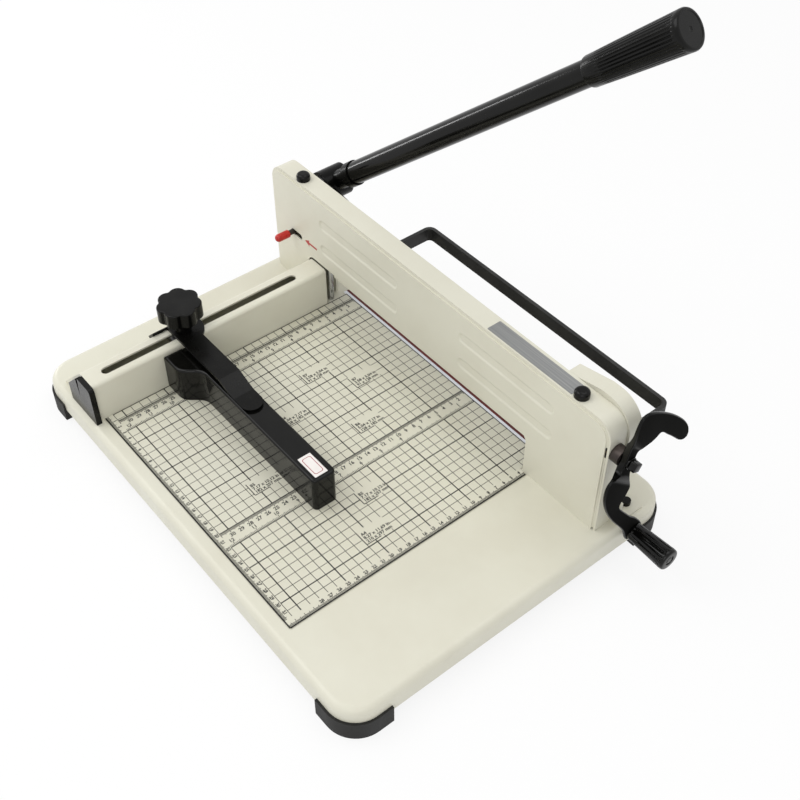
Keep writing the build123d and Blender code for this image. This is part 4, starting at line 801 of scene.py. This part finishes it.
def crank_bolt():
    """A square bolt head with broken edges on a washer."""
    low, high = node_box("crank_screw")
    middle = crank_middle()
    face = low.x + WASHER_T
    head = bmesh.new()
    bmesh.ops.create_cube(head, size=1.0)
    bmesh.ops.scale(head, verts=head.verts, vec=Vector((high.x - face, BOLT_W, BOLT_W)) * MM)
    washer = bmesh.new()
    bmesh.ops.create_cone(washer, cap_ends=True, segments=WASHER_SIDES, radius1=WASHER_R * MM,
                          radius2=WASHER_R * MM, depth=WASHER_T * MM)
    meshes = []
    for shape, turn, axis, x, edge in ((head, BOLT_TURN, "X", (face + high.x) / 2, BOLT_EDGE),
                                       (washer, math.pi / 2, "Y", low.x + WASHER_T / 2, WASHER_EDGE)):
        bmesh.ops.rotate(shape, verts=shape.verts, cent=(0, 0, 0), matrix=Matrix.Rotation(turn, 3, axis))
        bmesh.ops.translate(shape, verts=shape.verts, vec=place(x, *middle))
        sharp = [line for line in shape.edges if line.calc_face_angle() > CREASE]
        bmesh.ops.bevel(shape, geom=sharp, offset=edge * MM, segments=EDGE_CUTS, profile=0.5, affect="EDGES")
        meshes.append(finished_mesh("bolt", shape))
    bolt = soften(join_meshes("crank_bolt", meshes))
    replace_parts(keep("crank_bolt", bolt, FINISHES["black_gloss"], "crank"), "crank_screw")


# Floor, light and camera

def seen_directly(tree):
    """1 for rays from the camera, a reflection or glass, and 0 for the light that falls on the cutter."""
    path = tree.nodes.new("ShaderNodeLightPath")
    value = path.outputs["Is Camera Ray"]
    for label in ("Is Glossy Ray", "Is Transmission Ray"):
        either = tree.nodes.new("ShaderNodeMath")
        either.operation = "MAXIMUM"
        tree.links.new(value, either.inputs[0])
        tree.links.new(path.outputs[label], either.inputs[1])
        value = either.outputs[0]
    return value


def pale_floor_finish(colour, share):
    """A pale matt floor that is mostly plain white where it is seen directly, and keeps a shadow."""
    material = bpy.data.materials.new("studio floor")
    material.use_nodes = True
    tree = material.node_tree
    tree.nodes.clear()
    out = tree.nodes.new("ShaderNodeOutputMaterial")
    matt = tree.nodes.new("ShaderNodeBsdfDiffuse")
    matt.inputs["Color"].default_value = colour
    white = tree.nodes.new("ShaderNodeEmission")
    white.inputs["Color"].default_value = (1, 1, 1, 1)
    mix = tree.nodes.new("ShaderNodeMixShader")
    link = tree.links.new
    link(multiply(tree, seen_directly(tree), share), mix.inputs["Fac"])
    link(matt.outputs[0], mix.inputs[1])
    link(white.outputs[0], mix.inputs[2])
    link(mix.outputs[0], out.inputs["Surface"])
    return material


FLOOR_HALF, FLOOR_COLOUR, FLOOR_WHITE_SHARE = 40.0, (0.9, 0.9, 0.9, 1), 0.85
SKY_LIGHT, PLAIN_WHITE = 0.64, 0.93
# Name, place and aim in metres, width, height and power
LAMPS = (
    ("key light", (-0.9, -0.9, 1.9), (0, 0, 0.08), 1.4, 1.4, 15.5),
    ("fill light", (1.3, -1.2, 1.3), (0, 0, 0.08), 1.2, 1.2, 7.0),
    ("top light", (0.2, 0.6, 2.0), (0, 0, 0.08), 1.2, 1.2, 7.0),
    ("lever strip light", (-1.4, -0.25, 0.35), (0, 0, 0.30), 0.12, 0.5, 2.4),
)


def studio():
    mesh = bpy.data.meshes.new("studio_floor")
    corners = [(x * FLOOR_HALF, y * FLOOR_HALF, 0) for x, y in ((-1, -1), (1, -1), (1, 1), (-1, 1))]
    mesh.from_pydata(corners, [], [(0, 1, 2, 3)])
    mesh.materials.append(pale_floor_finish(FLOOR_COLOUR, FLOOR_WHITE_SHARE))
    floor = bpy.data.objects.new("studio_floor", mesh)
    bpy.context.scene.collection.objects.link(floor)

    world = bpy.data.worlds.new("studio world")
    bpy.context.scene.world = world
    world.use_nodes = True
    tree = world.node_tree
    sky = tree.nodes["Background"]
    plain = tree.nodes.new("ShaderNodeBackground")
    for background, strength in ((sky, SKY_LIGHT), (plain, PLAIN_WHITE)):
        background.inputs["Color"].default_value = (1, 1, 1, 1)
        background.inputs["Strength"].default_value = strength
    mix = tree.nodes.new("ShaderNodeMixShader")
    tree.links.new(seen_directly(tree), mix.inputs["Fac"])
    tree.links.new(sky.outputs[0], mix.inputs[1])
    tree.links.new(plain.outputs[0], mix.inputs[2])
    tree.links.new(mix.outputs[0], tree.nodes["World Output"].inputs["Surface"])

    for name, spot, aim, wide, high, power in LAMPS:
        lamp = bpy.data.lights.new(name, "AREA")
        lamp.shape = "RECTANGLE"
        lamp.size = wide
        lamp.size_y = high
        lamp.energy = power
        holder = bpy.data.objects.new(name, lamp)
        holder.location = spot
        holder.rotation_euler = (Vector(aim) - Vector(spot)).to_track_quat("-Z", "Y").to_euler()
        bpy.context.scene.collection.objects.link(holder)


VIEW_AZIMUTH, VIEW_HEIGHT = math.radians(50.95), math.radians(45.74)
VIEW_TARGET, VIEW_DISTANCE = (170.06, -67.60, 0.0), 1249.65
VIEW_LENS, VIEW_SENSOR, VIEW_END = 54.06, 36.0, 50.0


def photo_camera():
    lens = bpy.data.cameras.new("photo camera")
    lens.sensor_width = VIEW_SENSOR
    lens.sensor_height = VIEW_SENSOR
    lens.lens = VIEW_LENS
    lens.clip_end = VIEW_END
    camera = bpy.data.objects.new("photo camera", lens)
    level = math.cos(VIEW_HEIGHT)
    back = Vector((math.sin(VIEW_AZIMUTH) * level, -math.cos(VIEW_AZIMUTH) * level, math.sin(VIEW_HEIGHT)))
    camera.location = place(*VIEW_TARGET) + back * VIEW_DISTANCE * MM
    camera.rotation_euler = back.to_track_quat("Z", "Y").to_euler()
    bpy.context.scene.collection.objects.link(camera)
    bpy.context.scene.camera = camera


dress_cad_nodes()
table_print()
small_trim()
panel_top_fold()
lock_arrow()
grips()
bent_crank_arm()
crank_bolt()
studio()
photo_camera()
bpy.context.scene.view_settings.view_transform = "Standard"
